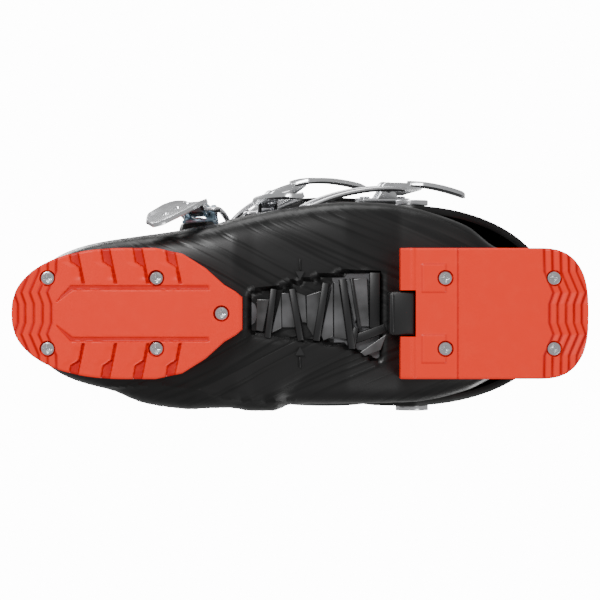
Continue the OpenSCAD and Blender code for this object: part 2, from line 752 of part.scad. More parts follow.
module toe_buckle_base() { place(toe_buckle) buckle_base(); }
module toe_buckle_rivets() { place(toe_buckle) base_rivets(); }
module toe_ladder() { place(toe_buckle) ladder(toe_buckle); }
module toe_ladder_rivets() { place(toe_buckle) ladder_rivet_set(toe_buckle); }
module toe_lever() { place(toe_buckle) lever(toe_buckle); }
module toe_lever_pin() { place(toe_buckle) lever_pin(); }
module toe_bail() { place(toe_buckle) bail(toe_buckle); }
module toe_bail_barrel() { place(toe_buckle) bail_barrel(); }

module instep_buckle_base() { place(instep_buckle) buckle_base(); }
module instep_buckle_rivets() { place(instep_buckle) base_rivets(); }
module instep_ladder() { place(instep_buckle) ladder(instep_buckle); }
module instep_ladder_rivets() { place(instep_buckle) ladder_rivet_set(instep_buckle); }
module instep_lever() { place(instep_buckle) lever(instep_buckle); }
module instep_lever_pin() { place(instep_buckle) lever_pin(); }
module instep_bail() { place(instep_buckle) bail(instep_buckle); }
module instep_bail_barrel() { place(instep_buckle) bail_barrel(); }

module lower_cuff_buckle_base() { place(lower_cuff_buckle) buckle_base(); }
module lower_cuff_buckle_rivets() { place(lower_cuff_buckle) base_rivets(); }
module lower_cuff_ladder() { place(lower_cuff_buckle) ladder(lower_cuff_buckle); }
module lower_cuff_ladder_rivets() { place(lower_cuff_buckle) ladder_rivet_set(lower_cuff_buckle); }
module lower_cuff_lever() { place(lower_cuff_buckle) lever(lower_cuff_buckle); }
module lower_cuff_lever_pin() { place(lower_cuff_buckle) lever_pin(); }
module lower_cuff_bail() { place(lower_cuff_buckle) bail(lower_cuff_buckle); }
module lower_cuff_bail_barrel() { place(lower_cuff_buckle) bail_barrel(); }

module upper_cuff_buckle_base() { place(upper_cuff_buckle) buckle_base(); }
module upper_cuff_buckle_rivets() { place(upper_cuff_buckle) base_rivets(); }
module upper_cuff_ladder() { place(upper_cuff_buckle) ladder(upper_cuff_buckle); }
module upper_cuff_ladder_rivets() { place(upper_cuff_buckle) ladder_rivet_set(upper_cuff_buckle); }
module upper_cuff_lever() { place(upper_cuff_buckle) lever(upper_cuff_buckle); }
module upper_cuff_lever_pin() { place(upper_cuff_buckle) lever_pin(); }
module upper_cuff_bail() { place(upper_cuff_buckle) bail(upper_cuff_buckle); }
module upper_cuff_bail_barrel() { place(upper_cuff_buckle) bail_barrel(); }

lower_shell();
toe_sole();
heel_sole();
toe_sole_screws();
heel_sole_screws();
arch_lock_block();
boot_board();
liner_foot();
instep_gasket();
toe_buckle_base();
toe_buckle_rivets();
toe_ladder();
toe_ladder_rivets();
instep_buckle_base();
instep_buckle_rivets();
instep_ladder();
instep_ladder_rivets();
pivot_bush_outer();
pivot_bush_inner();
cuff();
pivot_bolt_outer();
pivot_bolt_inner();
spine_plate();
spine_screws();
rear_spoiler();
liner_cuff();
liner_tongue();
liner_pull_loop();
power_strap();
power_strap_rivets();
lower_cuff_buckle_base();
lower_cuff_buckle_rivets();
lower_cuff_ladder();
lower_cuff_ladder_rivets();
upper_cuff_buckle_base();
upper_cuff_buckle_rivets();
upper_cuff_ladder();
upper_cuff_ladder_rivets();
toe_lever();
toe_lever_pin();
toe_bail();
toe_bail_barrel();
instep_lever();
instep_lever_pin();
instep_bail();
instep_bail_barrel();
lower_cuff_lever();
lower_cuff_lever_pin();
lower_cuff_bail();
lower_cuff_bail_barrel();
upper_cuff_lever();
upper_cuff_lever_pin();
upper_cuff_bail();
upper_cuff_bail_barrel();
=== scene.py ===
import math
import bpy
import bmesh
from mathutils import Matrix, Vector


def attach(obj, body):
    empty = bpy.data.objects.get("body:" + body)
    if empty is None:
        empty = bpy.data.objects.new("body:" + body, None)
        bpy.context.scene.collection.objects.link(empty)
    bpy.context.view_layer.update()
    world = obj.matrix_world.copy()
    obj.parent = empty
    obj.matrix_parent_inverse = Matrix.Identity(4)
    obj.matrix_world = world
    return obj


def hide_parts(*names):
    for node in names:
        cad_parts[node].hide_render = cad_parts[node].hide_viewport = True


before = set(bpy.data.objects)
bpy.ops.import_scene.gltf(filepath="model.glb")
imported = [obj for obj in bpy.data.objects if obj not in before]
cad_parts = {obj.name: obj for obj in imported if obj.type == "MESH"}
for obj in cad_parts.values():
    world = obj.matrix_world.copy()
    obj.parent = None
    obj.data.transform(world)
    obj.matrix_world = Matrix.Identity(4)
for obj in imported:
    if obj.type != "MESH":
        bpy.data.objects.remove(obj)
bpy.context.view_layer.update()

# A left ski boot: +X to the toe, +Y to the outer side, +Z up. Sizes are in millimetres
# until a piece is finished, and then its mesh is scaled to metres.
MM = 0.001
SHELL, CUFF = "shell", "cuff_body"

# ---------------------------------------------------------------- hand tools


def let_go():
    if bpy.context.object and bpy.context.object.mode != "OBJECT":
        bpy.ops.object.mode_set(mode="OBJECT")
    bpy.ops.object.select_all(action="DESELECT")


def hold(*objs):
    let_go()
    for obj in objs:
        obj.select_set(True)
    bpy.context.view_layer.objects.active = objs[0]


def named(obj, name):
    obj.name = name
    obj.data.name = name
    return obj


def apply_modifier(obj, kind, **settings):
    hold(obj)
    mod = obj.modifiers.new(kind.title(), kind)
    for key, value in settings.items():
        setattr(mod, key, value)
    bpy.ops.object.modifier_apply(modifier=mod.name)
    return obj


def tidy_mesh(obj, distance=0.02, fill=True):
    hold(obj)
    bpy.ops.object.mode_set(mode="EDIT")
    bpy.ops.mesh.select_all(action="SELECT")
    bpy.ops.mesh.remove_doubles(threshold=distance)
    if fill:
        bpy.ops.mesh.fill_holes(sides=0)
    bpy.ops.mesh.select_all(action="SELECT")
    bpy.ops.mesh.normals_make_consistent(inside=False)
    bpy.ops.object.mode_set(mode="OBJECT")
    return obj


def rounded(obj, width, segments=2, angle=38):
    return apply_modifier(obj, "BEVEL", width=width, segments=segments, limit_method="ANGLE",
                          angle_limit=math.radians(angle), harden_normals=False)


def walled(obj, thickness):
    """Gives a sheet its wall, inwards from its outer face."""
    return apply_modifier(obj, "SOLIDIFY", thickness=thickness, offset=-1,
                          use_even_offset=False, use_quality_normals=True)


def smoothed(obj, angle=40):
    hold(obj)
    bpy.ops.object.shade_smooth_by_angle(angle=math.radians(angle))
    return obj


def moved(obj, matrix):
    obj.data.transform(matrix)
    return obj


def joined(objs, name):
    hold(*objs)
    bpy.ops.object.join()
    return named(bpy.context.object, name)


def cut_by(obj, *cutters):
    for cutter in cutters:
        apply_modifier(obj, "BOOLEAN", operation="DIFFERENCE", object=cutter, solver="EXACT")
        bpy.data.objects.remove(cutter)
    return obj


def sheet_grid(name, across, along, place):
    """A flat grid laid over the surface place(u, v), with u and v from 0 to 1."""
    let_go()
    bpy.ops.mesh.primitive_grid_add(x_subdivisions=across, y_subdivisions=along, size=1)
    obj = named(bpy.context.object, name)
    for vert in obj.data.vertices:
        vert.co = place(vert.co.x + 0.5, vert.co.y + 0.5)
    return obj


def faced(sheet, index, inside):
    """Turns an open sheet so that its face at index looks away from the point inside(centre)."""
    sheet.data.update()
    face = sheet.data.polygons[index]
    if face.normal.dot(face.center - inside(face.center)) < 0:
        sheet.data.flip_normals()
    return sheet


def on_axis(x):
    """For faced(): the upright line through X on the middle of the boot."""
    return lambda centre: Vector((x, 0, centre.z))


def arc(radius, first, last, steps=12):
    """Points of a circular arc about the origin, between two angles in degrees."""
    turns = [math.radians(first + (last - first) * k / steps) for k in range(steps + 1)]
    return [(radius * math.cos(a), radius * math.sin(a)) for a in turns]


def plate(name, outline, low, high):
    """A flat plate with this outline, extruded from one height to another."""
    let_go()
    bpy.ops.mesh.primitive_circle_add(vertices=len(outline), fill_type="NGON")
    obj = named(bpy.context.object, name)
    for vert, spot in zip(obj.data.vertices, outline):
        vert.co = (spot[0], spot[1], low)
    bpy.ops.object.mode_set(mode="EDIT")
    bpy.ops.mesh.select_all(action="SELECT")
    bpy.ops.mesh.extrude_region_move(TRANSFORM_OT_translate={"value": (0, 0, high - low)})
    bpy.ops.mesh.select_all(action="SELECT")
    bpy.ops.mesh.normals_make_consistent(inside=False)
    bpy.ops.object.mode_set(mode="OBJECT")
    return obj


def rod(name, radius, length, matrix, sides=32):
    """A cylinder along the local Z of matrix, from its origin."""
    let_go()
    bpy.ops.mesh.primitive_cylinder_add(vertices=sides, radius=radius, depth=length)
    obj = named(bpy.context.object, name)
    return moved(obj, matrix @ Matrix.Translation((0, 0, length / 2)))


def wire(name, points, radius, sides):
    """A round wire along the points."""
    line = bpy.data.curves.new(name, "CURVE")
    line.dimensions = "3D"
    line.bevel_depth = radius
    line.bevel_resolution = sides
    line.use_fill_caps = True
    spline = line.splines.new("POLY")
    spline.points.add(len(points) - 1)
    for spot, at in zip(spline.points, points):
        spot.co = (at[0], at[1], at[2], 1)
    obj = bpy.data.objects.new(name, line)
    bpy.context.scene.collection.objects.link(obj)
    hold(obj)
    bpy.ops.object.convert(target="MESH")
    return named(bpy.context.object, name)


def corner(points, spot, radius, steps=6):
    """Rounds the corner of a path at points[spot]."""
    before, here, after = (Vector(points[spot + k]) for k in (-1, 0, 1))
    start = here + (before - here).normalized() * radius
    end = here + (after - here).normalized() * radius
    return [((1 - t) ** 2) * start + 2 * t * (1 - t) * here + t * t * end
            for t in (k / steps for k in range(steps + 1))]


def settled(obj, body, slot, *stands_for):
    """Scales the piece to metres, and says what it rides on and what it stands for."""
    moved(obj, Matrix.Scale(MM, 4))
    if slot in FINISHES:
        obj.data.materials.clear()
        obj.data.materials.append(FINISHES[slot])
    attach(obj, body)
    if stands_for:
        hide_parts(*stands_for)
    return obj


def refined(node, body, finish, bevel, segments=2):
    """A welded copy of a CAD node with its sharp edges broken."""
    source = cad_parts[node]
    let_go()
    obj = bpy.data.objects.new(node + "_made", source.data.copy())
    bpy.context.scene.collection.objects.link(obj)
    named(obj, node + "_made")
    moved(obj, Matrix.Scale(1 / MM, 4))
    tidy_mesh(obj, 0.004, fill=False)
    hold(obj)
    bpy.ops.object.mode_set(mode="EDIT")
    bpy.ops.mesh.select_all(action="SELECT")
    bpy.ops.mesh.dissolve_limited(angle_limit=math.radians(0.5))
    bpy.ops.object.mode_set(mode="OBJECT")
    if bevel:
        rounded(obj, bevel, segments)
    smoothed(obj, 35)
    return settled(obj, body, finish, node)


# ---------------------------------------------------------------- profiles


def fair(points, x):
    """Reads a smooth curve through the points, with no overshoot."""
    last = len(points) - 1
    if x <= points[0][0]:
        return points[0][1]
    if x >= points[last][0]:
        return points[last][1]
    k = 0
    while points[k + 1][0] < x:
        k += 1

    def rise(i):
        return (points[i + 1][1] - points[i][1]) / (points[i + 1][0] - points[i][0])

    def slope(i):
        if i == 0:
            return rise(0)
        if i == last:
            return rise(last - 1)
        a, b = rise(i - 1), rise(i)
        return 0 if a * b <= 0 else 2 * a * b / (a + b)

    step = points[k + 1][0] - points[k][0]
    t = (x - points[k][0]) / step
    return ((2 * t ** 3 - 3 * t * t + 1) * points[k][1] + (t ** 3 - 2 * t * t + t) * step * slope(k)
            + (3 * t * t - 2 * t ** 3) * points[k + 1][1] + (t ** 3 - t * t) * step * slope(k + 1))


def straight(points, x):
    """Reads a polyline."""
    if x <= points[0][0]:
        return points[0][1]
    for (xa, ya), (xb, yb) in zip(points, points[1:]):
        if x <= xb:
            return ya + (yb - ya) * (x - xa) / (xb - xa)
    return points[-1][1]


def signed_power(value, power):
    return math.copysign(abs(value) ** power, value)


def ease(t):
    t = min(1.0, max(0.0, t))
    return t * t * (3 - 2 * t)


PIVOT = Vector((-62, 0, 82))
FOOT_BACK, FOOT_FRONT = -135.5, 143.0
FOOT_MID = (FOOT_BACK + FOOT_FRONT) / 2
FOOT_HALF = (FOOT_FRONT - FOOT_BACK) / 2
WIDE_H = 42.0
OUTER_SIDE = [(-136, 38), (-105, 42), (-80, 46), (-55, 50), (-20, 49), (10, 48.5), (30, 48.6), (40, 48.4),
              (53, 47), (65, 45.2), (78, 44), (94, 43.6), (110, 43.8), (143, 44.5)]
OUTER_FLANK = [(-136, 38), (-105, 42), (-90, 51), (-75, 55), (-60, 58), (-43, 59.6), (-27, 59.8), (-13, 59),
               (0, 57.4), (12, 55.7), (27, 52.8), (40, 49.6), (53, 46), (143, 40)]
INNER_FLANK = [(-136, 36), (-105, 40), (-90, 45), (-60, 48.6), (-5, 48.6), (5, 49.5), (15, 52), (30, 51),
               (50, 46), (143, 40)]
# the flanks swell only below this line, under the cuff
FLANK_TOP = [(-118, 61), (-84, 54.5), (-62, 52.5), (-43, 53), (-20.5, 79.5), (-2, 109), (60, 109)]
INNER_SIDE = [(-136, 36), (-105, 40), (-80, 42.5), (-55, 44), (-20, 43), (-6, 44.5), (5, 49),
              (15, 53), (26, 53), (38, 51.5), (50, 52), (60, 52.8), (70, 52.4), (84, 51.2),
              (92, 49.2), (100, 46.8), (110, 45.6), (143, 46)]
TOP_LINE = [(-60, 330), (-40, 240), (-20, 190), (-8, 165), (5, 146), (15, 133), (28, 118),
            (40, 107), (55, 97), (75, 88), (100, 80), (120, 73), (135, 64), (143, 56)]
FLOOR_LINE = [(-136, 22), (-53, 22), (-25, 18.4), (25, 16), (35, 15), (143, 15)]
SHELL_RIM = [(-150, 116), (-95, 120), (-62, 134), (-20, 148), (4, 148), (60, 150)]
LEG_BACK = [(50, -136.5), (82, -141), (110, -138.5), (140, -130), (180, -118), (240, -103),
            (292, -93), (330, -88)]
LEG_FRONT = [(50, 26), (140, 26), (180, 36), (240, 52), (292, 65), (330, 72)]
LEG_OUTER = [(50, 58.5), (80, 59), (150, 62), (240, 67), (292, 68), (330, 68)]
LEG_INNER = [(50, 50.5), (80, 50.5), (150, 52), (240, 54.5), (292, 56.5), (330, 57)]
SOCK_OUTER = [(50, 43.5), (156, 43.5), (190, 53), (330, 57)]
SOCK_INNER = [(50, 38), (156, 38), (190, 42.5), (330, 46)]
CUFF_LOW = [(-150, 74), (-118, 68), (-84, 57), (-62, 54), (-40, 58), (-23, 88), (-8, 120),
            (3, 147), (40, 152)]
# how far the heel may stand out behind the hinge, across the boot
HEEL_REACH = [(-42, 56), (-30, 57.6), (-25, 63.2), (-20, 67.2), (-15, 70), (-9, 72), (0, 73.2), (9, 72.4),
              (15, 71), (20, 69.1), (25, 66.3), (30, 62.5), (42, 58)]
HEEL_PLAY = 0.7             # clear space between the heel and the flexed cuff
CUFF_HIGH = [(-150, 294), (-90, 294), (-60, 280), (40, 262), (90, 262)]


def leg_point(z, a, out=0.0, inset=0.0, outer=LEG_OUTER, inner=LEG_INNER):
    """The leg's surface at height z and angle a from the front, moved out."""
    back = fair(LEG_BACK, z) - out + inset
    front = fair(LEG_FRONT, z) + out - inset
    c, s = math.cos(math.radians(a)), math.sin(math.radians(a))
    n = 2.2 if c < 0 else 2.6
    wide = (fair(outer, z) if s > 0 else fair(inner, z)) + out
    return Vector(((back + front) / 2 + (front - back) / 2 * signed_power(c, 2 / n),
                   wide * signed_power(s, 2 / n), z))


def spaced(points, count, gap):
    """Where count + 1 even marks fall along the points: each one's index and its share of the step."""
    run = [0.0]
    for a, b in zip(points, points[1:]):
        run.append(run[-1] + gap(a, b))
    marks, k = [], 0
    for i in range(count + 1):
        want = run[-1] * i / count
        while k < len(points) - 2 and run[k + 1] < want:
            k += 1
        step = run[k + 1] - run[k]
        marks.append((k, min(1.0, max(0.0, (want - run[k]) / step)) if step > 0 else 0.0))
    return marks


def even_angles(first, last, count):
    """Angles from first to last that are evenly far apart round the leg."""
    fine = [first + (last - first) * k / 720 for k in range(721)]
    marks = spaced(fine, count, lambda a, b: (leg_point(190, b) - leg_point(190, a)).length)
    return [fine[k] + (fine[k + 1] - fine[k]) * t for k, t in marks]


# ---------------------------------------------------------------- finishes

FINISHES = {}


class Finish:
    """A procedural finish built round one Principled shader."""

    def __init__(self, name, slot, colour, roughness, metallic=0.0, **sockets):
        self.mat = bpy.data.materials.new(name)
        self.mat.use_nodes = True
        self.tree = self.mat.node_tree
        self.shader = self.tree.nodes["Principled BSDF"]
        self.shader.inputs["Base Color"].default_value = (*colour, 1)
        self.shader.inputs["Roughness"].default_value = roughness
        self.shader.inputs["Metallic"].default_value = metallic
        for key, value in sockets.items():
            self.shader.inputs[key.replace("_", " ")].default_value = value
        self.mat.diffuse_color = (*colour, 1)
        self.coords = self.tree.nodes.new("ShaderNodeTexCoord").outputs["Object"]
        self.uv = self.tree.nodes.new("ShaderNodeTexCoord").outputs["UV"]
        FINISHES[name] = self.mat

    def node(self, kind, links=(), **values):
        made = self.tree.nodes.new(kind)
        for key, value in values.items():
            if hasattr(made, key):
                setattr(made, key, value)
            else:
                made.inputs[key.replace("_", " ")].default_value = value
        for socket, source in dict(links).items():
            self.tree.links.new(source, made.inputs[socket])
        return made

    def mapped(self, scale, turn=(0, 0, 0), source=None):
        made = self.node("ShaderNodeMapping", {"Vector": source or self.coords})
        made.inputs["Scale"].default_value = scale
        made.inputs["Rotation"].default_value = [math.radians(a) for a in turn]
        return made.outputs[0]

    def noise(self, vector, scale, detail=3.0, rough=0.5, distort=0.0):
        return self.node("ShaderNodeTexNoise", {"Vector": vector}, Scale=scale, Detail=detail,
                         Roughness=rough, Distortion=distort).outputs[0]

    def ramp(self, source, *stops):
        made = self.node("ShaderNodeValToRGB", {"Fac": source})
        ends = made.color_ramp.elements
        while len(ends) < len(stops):
            ends.new(0.5)
        for end, (spot, colour) in zip(ends, stops):
            end.position = spot
            end.color = (*colour, 1) if len(colour) == 3 else colour
        return made.outputs[0]

    def spread(self, source, low, high):
        return self.node("ShaderNodeMapRange", {"Value": source}, To_Min=low, To_Max=high).outputs[0]

    def maths(self, operation, a, b=0.0):
        made = self.tree.nodes.new("ShaderNodeMath")
        made.operation = operation
        for k, value in enumerate((a, b)):
            if isinstance(value, (int, float)):
                made.inputs[k].default_value = value
            else:
                self.tree.links.new(value, made.inputs[k])
        return made.outputs[0]

    def bump(self, height, distance, strength=1.0, under=None):
        made = self.node("ShaderNodeBump", {"Height": height}, Distance=distance, Strength=strength)
        if under:
            self.tree.links.new(under, made.inputs["Normal"])
        return made.outputs[0]

    def set(self, **sources):
        for key, source in sources.items():
            self.tree.links.new(source, self.shader.inputs[key.replace("_", " ")])


def grey(value):
    return (value, value, value)


def moulded_black(name, slot, scale, slant, depth):
    """Satin black moulding with fine streaks that run slanting back along both flanks."""
    f = Finish(name, slot, (0.009, 0.009, 0.0095), 0.34, Specular_IOR_Level=0.42)
    parts = f.node("ShaderNodeSeparateXYZ", {"Vector": f.coords})
    both_sides = f.node("ShaderNodeCombineXYZ", {"X": parts.outputs["X"], "Z": parts.outputs["Z"],
                                                 "Y": f.maths("ABSOLUTE", parts.outputs["Y"])}).outputs[0]
    drift = f.node("ShaderNodeVectorMath", {0: both_sides}, operation="ADD")
    warp = f.node("ShaderNodeTexNoise", {"Vector": both_sides}, Scale=7.0, Detail=1.0)
    small = f.node("ShaderNodeVectorMath", {0: warp.outputs[1]}, operation="SCALE")
    small.inputs["Scale"].default_value = 0.02
    f.tree.links.new(small.outputs[0], drift.inputs[1])
    turned = f.mapped((1, 1, 1), slant, drift.outputs[0])
    streak = f.mapped(scale, source=turned)
    lines = f.noise(streak, 1.0, 1.0, 0.5)
    grain = f.noise(f.coords, 1500.0, 2.0)
    ridged = f.ramp(lines, (0.36, grey(0)), (0.5, grey(0.85)), (0.6, grey(1)))
    f.set(Normal=f.bump(grain, 0.00002, 0.5, f.bump(ridged, depth, 1.0)),
          Roughness=f.spread(ridged, 0.3, 0.38),
          Base_Color=f.ramp(ridged, (0.0, (0.002, 0.002, 0.0022)), (1.0, (0.0058, 0.0056, 0.0058))))


moulded_black("shell_black", "shell_black", (10, 420, 90), (0, 0, -25), 0.00006)
moulded_black("cuff_black", "shell_black", (9, 40, 150), (0, -20, 0), 0.00004)


def grained(name, slot, colour, roughness, grain, depth, strength=0.5):
    """A plain moulded finish with a fine grain."""
    f = Finish(name, slot, colour, roughness)
    f.set(Normal=f.bump(f.noise(f.coords, grain, 3.0), depth, strength))
    return f


plain = grained("plain_black", "shell_black", (0.008, 0.008, 0.0085), 0.34, 900.0, 0.00004)
plain.set(Roughness=plain.spread(plain.noise(plain.coords, 40.0, 3.0), 0.3, 0.5))
# painted highlight: light mottled grey that stands in for the gloss on the black facets under the arch
painted_highlight = grained("facet_painted_highlight", "shell_black", (0.06, 0.06, 0.063), 0.3, 700.0, 0.00004)
painted_highlight.set(Base_Color=painted_highlight.ramp(painted_highlight.noise(painted_highlight.coords, 60.0, 2.0), (0.35, grey(0.035)),
                                  (0.7, (0.13, 0.13, 0.135))))


def sole_red():
    """Orange-red sole moulding, darkened by painted shade at the foot of its steps and down in its grooves.
    """
    f = Finish("sole_red", "sole_red", (1.0, 0.05, 0.012), 0.42, Specular_IOR_Level=0.3)
    painted_shade = f.node("ShaderNodeAttribute", attribute_name="painted_shade").outputs["Fac"]
    wear = f.noise(f.coords, 130.0, 4.0, 0.6)
    # painted shade: the darker red below is mixed in by the tread's shade mark, at step feet and in grooves
    base = f.node("ShaderNodeMix", data_type="RGBA")
    base.inputs[6].default_value = (1.0, 0.03, 0.007, 1)
    base.inputs[7].default_value = (0.6, 0.003, 0.001, 1)
    f.tree.links.new(f.ramp(painted_shade, (0.05, grey(0)), (0.9, grey(1))), base.inputs[0])
    rubbed = f.node("ShaderNodeMix", data_type="RGBA")
    rubbed.inputs[7].default_value = (1.0, 0.055, 0.016, 1)
    f.tree.links.new(base.outputs[2], rubbed.inputs[6])
    f.tree.links.new(f.ramp(wear, (0.5, grey(0)), (0.8, grey(0.35))), rubbed.inputs[0])
    f.set(Base_Color=rubbed.outputs[2],
          Roughness=f.spread(wear, 0.34, 0.5),
          Normal=f.bump(f.noise(f.coords, 1100.0, 3.0), 0.00004, 0.5))


sole_red()


def bright_metal(name, slot, colour, roughness, brush):
    """Polished or brushed metal with fine drawn lines and faint smears."""
    f = Finish(name, slot, colour, roughness, 1.0)
    lines = f.noise(f.mapped(brush), 1.0, 2.0, 0.6)
    smear = f.noise(f.coords, 90.0, 4.0, 0.6)
    f.set(Roughness=f.maths("ADD", f.spread(lines, roughness - 0.07, roughness + 0.07),
                            f.spread(smear, -0.05, 0.06)),
          Normal=f.bump(lines, 0.00002, 0.35),
          Base_Color=f.ramp(smear, (0.2, tuple(v * 0.86 for v in colour)), (0.7, colour)))


bright_metal("buckle_alloy", "buckle_alloy", (0.86, 0.87, 0.89), 0.24, (260, 1600, 260))
bright_metal("steel", "steel", (0.78, 0.78, 0.8), 0.2, (1800, 300, 1800))
bright_metal("block_blue_grey", "buckle_alloy", (0.28, 0.38, 0.46), 0.34, (900, 900, 300))
bright_metal("dark_steel", "steel", (0.2, 0.2, 0.21), 0.35, (900, 900, 300))


def woven(name, slot, colour, dark, thread, sheen=0.3):
    """Cloth with crossing threads laid along the piece's own UV map, in threads across it."""
    roughness = 0.85
    f = Finish(name, slot, colour, roughness, 0.0, Sheen_Weight=sheen, Sheen_Roughness=0.5)
    run = f.mapped((*thread, 1), source=f.uv)
    parts = f.node("ShaderNodeSeparateXYZ", {"Vector": run})
    warp = f.maths("ABSOLUTE", f.maths("SINE", f.maths("MULTIPLY", parts.outputs[0], math.pi)))
    weft = f.maths("ABSOLUTE", f.maths("SINE", f.maths("MULTIPLY", parts.outputs[1], math.pi)))
    over = f.maths("MAXIMUM", f.maths("MULTIPLY", warp, 0.9), weft)
    fuzz = f.noise(f.coords, 2200.0, 3.0, 0.7)
    patch = f.noise(f.coords, 30.0, 3.0)
    shade = f.maths("ADD", f.maths("MULTIPLY", over, 0.75), f.maths("MULTIPLY", patch, 0.35))
    f.set(Base_Color=f.ramp(shade, (0.15, dark), (0.95, colour)),
          Normal=f.bump(fuzz, 0.00006, 0.5, f.bump(over, 0.00025, 0.8)),
          Roughness=f.spread(fuzz, roughness - 0.08, roughness + 0.08))


woven("liner_knit", "liner_fabric", (0.055, 0.057, 0.062), (0.015, 0.015, 0.017), (230, 210))
woven("liner_lining", "liner_fabric", (0.16, 0.165, 0.175), (0.06, 0.06, 0.065), (260, 200))
woven("liner_binding", "liner_fabric", (0.4, 0.03, 0.015), (0.16, 0.01, 0.006), (600, 8))
woven("strap_webbing", "strap_webbing", (0.035, 0.035, 0.037), (0.006, 0.006, 0.006), (300, 26), 0.2)
woven("hook_tape", "strap_webbing", (0.02, 0.02, 0.021), (0.004, 0.004, 0.004), (50, 28), 0.6)
stitch = Finish("thread_grey", "liner_fabric", (0.3, 0.3, 0.31), 0.7)
stitch.set(Normal=stitch.bump(stitch.noise(stitch.mapped((900, 2500, 900)), 1.0), 0.00005, 0.6))

grained("board_grey", "board_grey", (0.1, 0.1, 0.105), 0.6, 400.0, 0.0001)
grained("gasket", "gasket", (0.012, 0.012, 0.013), 0.6, 600.0, 0.00008, 0.6)
nylon = Finish("bush_dark", "bush_dark", (0.05, 0.05, 0.055), 0.45)
nylon.set(Roughness=nylon.spread(nylon.noise(nylon.coords, 300.0, 2.0), 0.38, 0.52))

# ---------------------------------------------------------------- lower shell

SHELL_STATIONS = 190
SHELL_CELLS = 156
SHELL_WALL = 4.2
# the recessed field under the arch, as X with its outer and inner edges
ARCH_OUTER = [(-44, 22), (-36, 23.4), (27.9, 11.8)]
ARCH_INNER = [(-42.1, -26.1), (-25.8, -19.2), (1, -14.5), (25.2, -11.8)]
ARCH_DEPTH = 4.5


def flank_reach(spot, e):
    """How far out the swollen flank stands at this height, or 0 where there is none."""
    if not -108 < spot.x < 52 or spot.z > straight(FLANK_TOP, spot.x):
        return 0.0
    table = OUTER_FLANK if spot.y > 0 else INNER_FLANK
    if spot.z > WIDE_H:
        n, t = 2.4, (spot.z - WIDE_H) / 40
    else:
        n, t = 5, (WIDE_H - spot.z) / (WIDE_H - straight(FLOOR_LINE, spot.x) - 0.4)
    return fair(table, spot.x) * e * max(0.0, 1 - t ** n) ** (1 / n)


def foot_ring(x, inset, rim_line, cells, floor_up=0.0, swollen=False):
    """One upright section of the foot, from the outer rim under the sole to the inner rim."""
    half_length = FOOT_HALF - inset
    e = max(0.0, 1 - abs((x - FOOT_MID) / half_length) ** 3.4) ** (1 / 3.4)
    low = WIDE_H - straight(FLOOR_LINE, x) - floor_up
    high = (fair(TOP_LINE, x) - WIDE_H - inset) * max(e, 0.13) ** 0.55
    rim = straight(rim_line, x)
    sides = []
    for sign, table in ((1, OUTER_SIDE), (-1, INNER_SIDE)):
        half = (fair(table, x) - inset) * e
        line = []
        for k in range(181):
            a = math.radians(-90 + k)
            c, s = max(0.0, math.cos(a)), math.sin(a)
            n = 5 if s < 0 else 2.4
            z = WIDE_H + (high if s > 0 else low) * signed_power(s, 2 / n)
            spot = Vector((x, sign * half * c ** (2 / n), z))
            if spot.z > rim:
                before = line[-1]
                line.append(before.lerp(spot, (rim - before.z) / (spot.z - before.z)))
                break
            line.append(spot)
        if swollen:
            line = [Vector((p.x, sign * max(abs(p.y), flank_reach(p, e)), p.z)) for p in line]
        marks = spaced(line, cells // 2, lambda a, b: (b - a).length)
        sides.append([line[k].lerp(line[k + 1], t) for k, t in marks])
    return list(reversed(sides[0])) + sides[1][1:]


def foot_skin(name, stations, cells, inset, rim_line, reach, floor_up=0.0, swollen=False):
    """The skin of the foot as one open sheet, trimmed behind the hinge to reach(y)."""
    half = FOOT_HALF - inset
    rings = []
    for i in range(stations + 1):
        t = 0.45 * -math.cos(math.pi * i / stations) + 0.55 * (2 * i / stations - 1)
        rings.append(foot_ring(FOOT_MID + half * t, inset, rim_line, cells, floor_up, swollen))
    skin = sheet_grid(name, stations, cells, lambda u, v: rings[round(u * stations)][round(v * cells)])
    for vert in skin.data.vertices:
        if vert.co.x < PIVOT.x and vert.co.z > 60:
            limit = reach(vert.co.y) + 6 * ease((67 - vert.co.z) / 7)
            vert.co.x = max(vert.co.x, PIVOT.x - math.sqrt(max(0, limit ** 2 - (vert.co.z - PIVOT.z) ** 2)))
    tidy_mesh(skin, 0.15, fill=False)
    facing = sum(v.normal.dot(v.co - Vector((v.co.x, 0, 60))) for v in skin.data.vertices)
    if facing < 0:
        skin.data.flip_normals()
    return skin


def flow_ridges(spot):
    """Height of the shallow ridges that run slanting up both flanks."""
    if abs(spot.y) < 24 or spot.z > 84:
        return 0.0
    band = ease((spot.z - 21) / 8) * ease((84 - spot.z) / 26)
    band *= ease((104 - spot.x) / 30) * ease((spot.x + 128) / 24)
    if spot.x < 0:
        band *= ease((straight(FLANK_TOP, spot.x) - 2 - spot.z) / 8)
    phase = spot.x * 0.16 + spot.z * 0.62 + 1.6 * math.sin(spot.x * 0.035)
    return 0.24 * band * abs(math.sin(phase)) ** 1.5


INNER_EDGE = [(0, -46.5), (20, -46.5), (40, -45), (53, -41), (78, -38), (97, -38.4), (110, -38)]


def inner_field(spot):
    """Height of the ridged field that lies beyond the edge along the inner flank."""
    if spot.y > -30 or not 0 < spot.x < 110 or spot.z > 60:
        return 0.0
    past = straight(INNER_EDGE, spot.x) - spot.y
    ends = ease(spot.x / 8) * ease((110 - spot.x) / 12)
    return ends * (0.9 * ease(1 - abs(past) / 1.6) - 0.8 * ease((past - 1) / 1.5)
                   + 0.3 * ease((past - 1) / 3) * abs(math.sin(spot.x * 0.62 + spot.z * 0.25)))


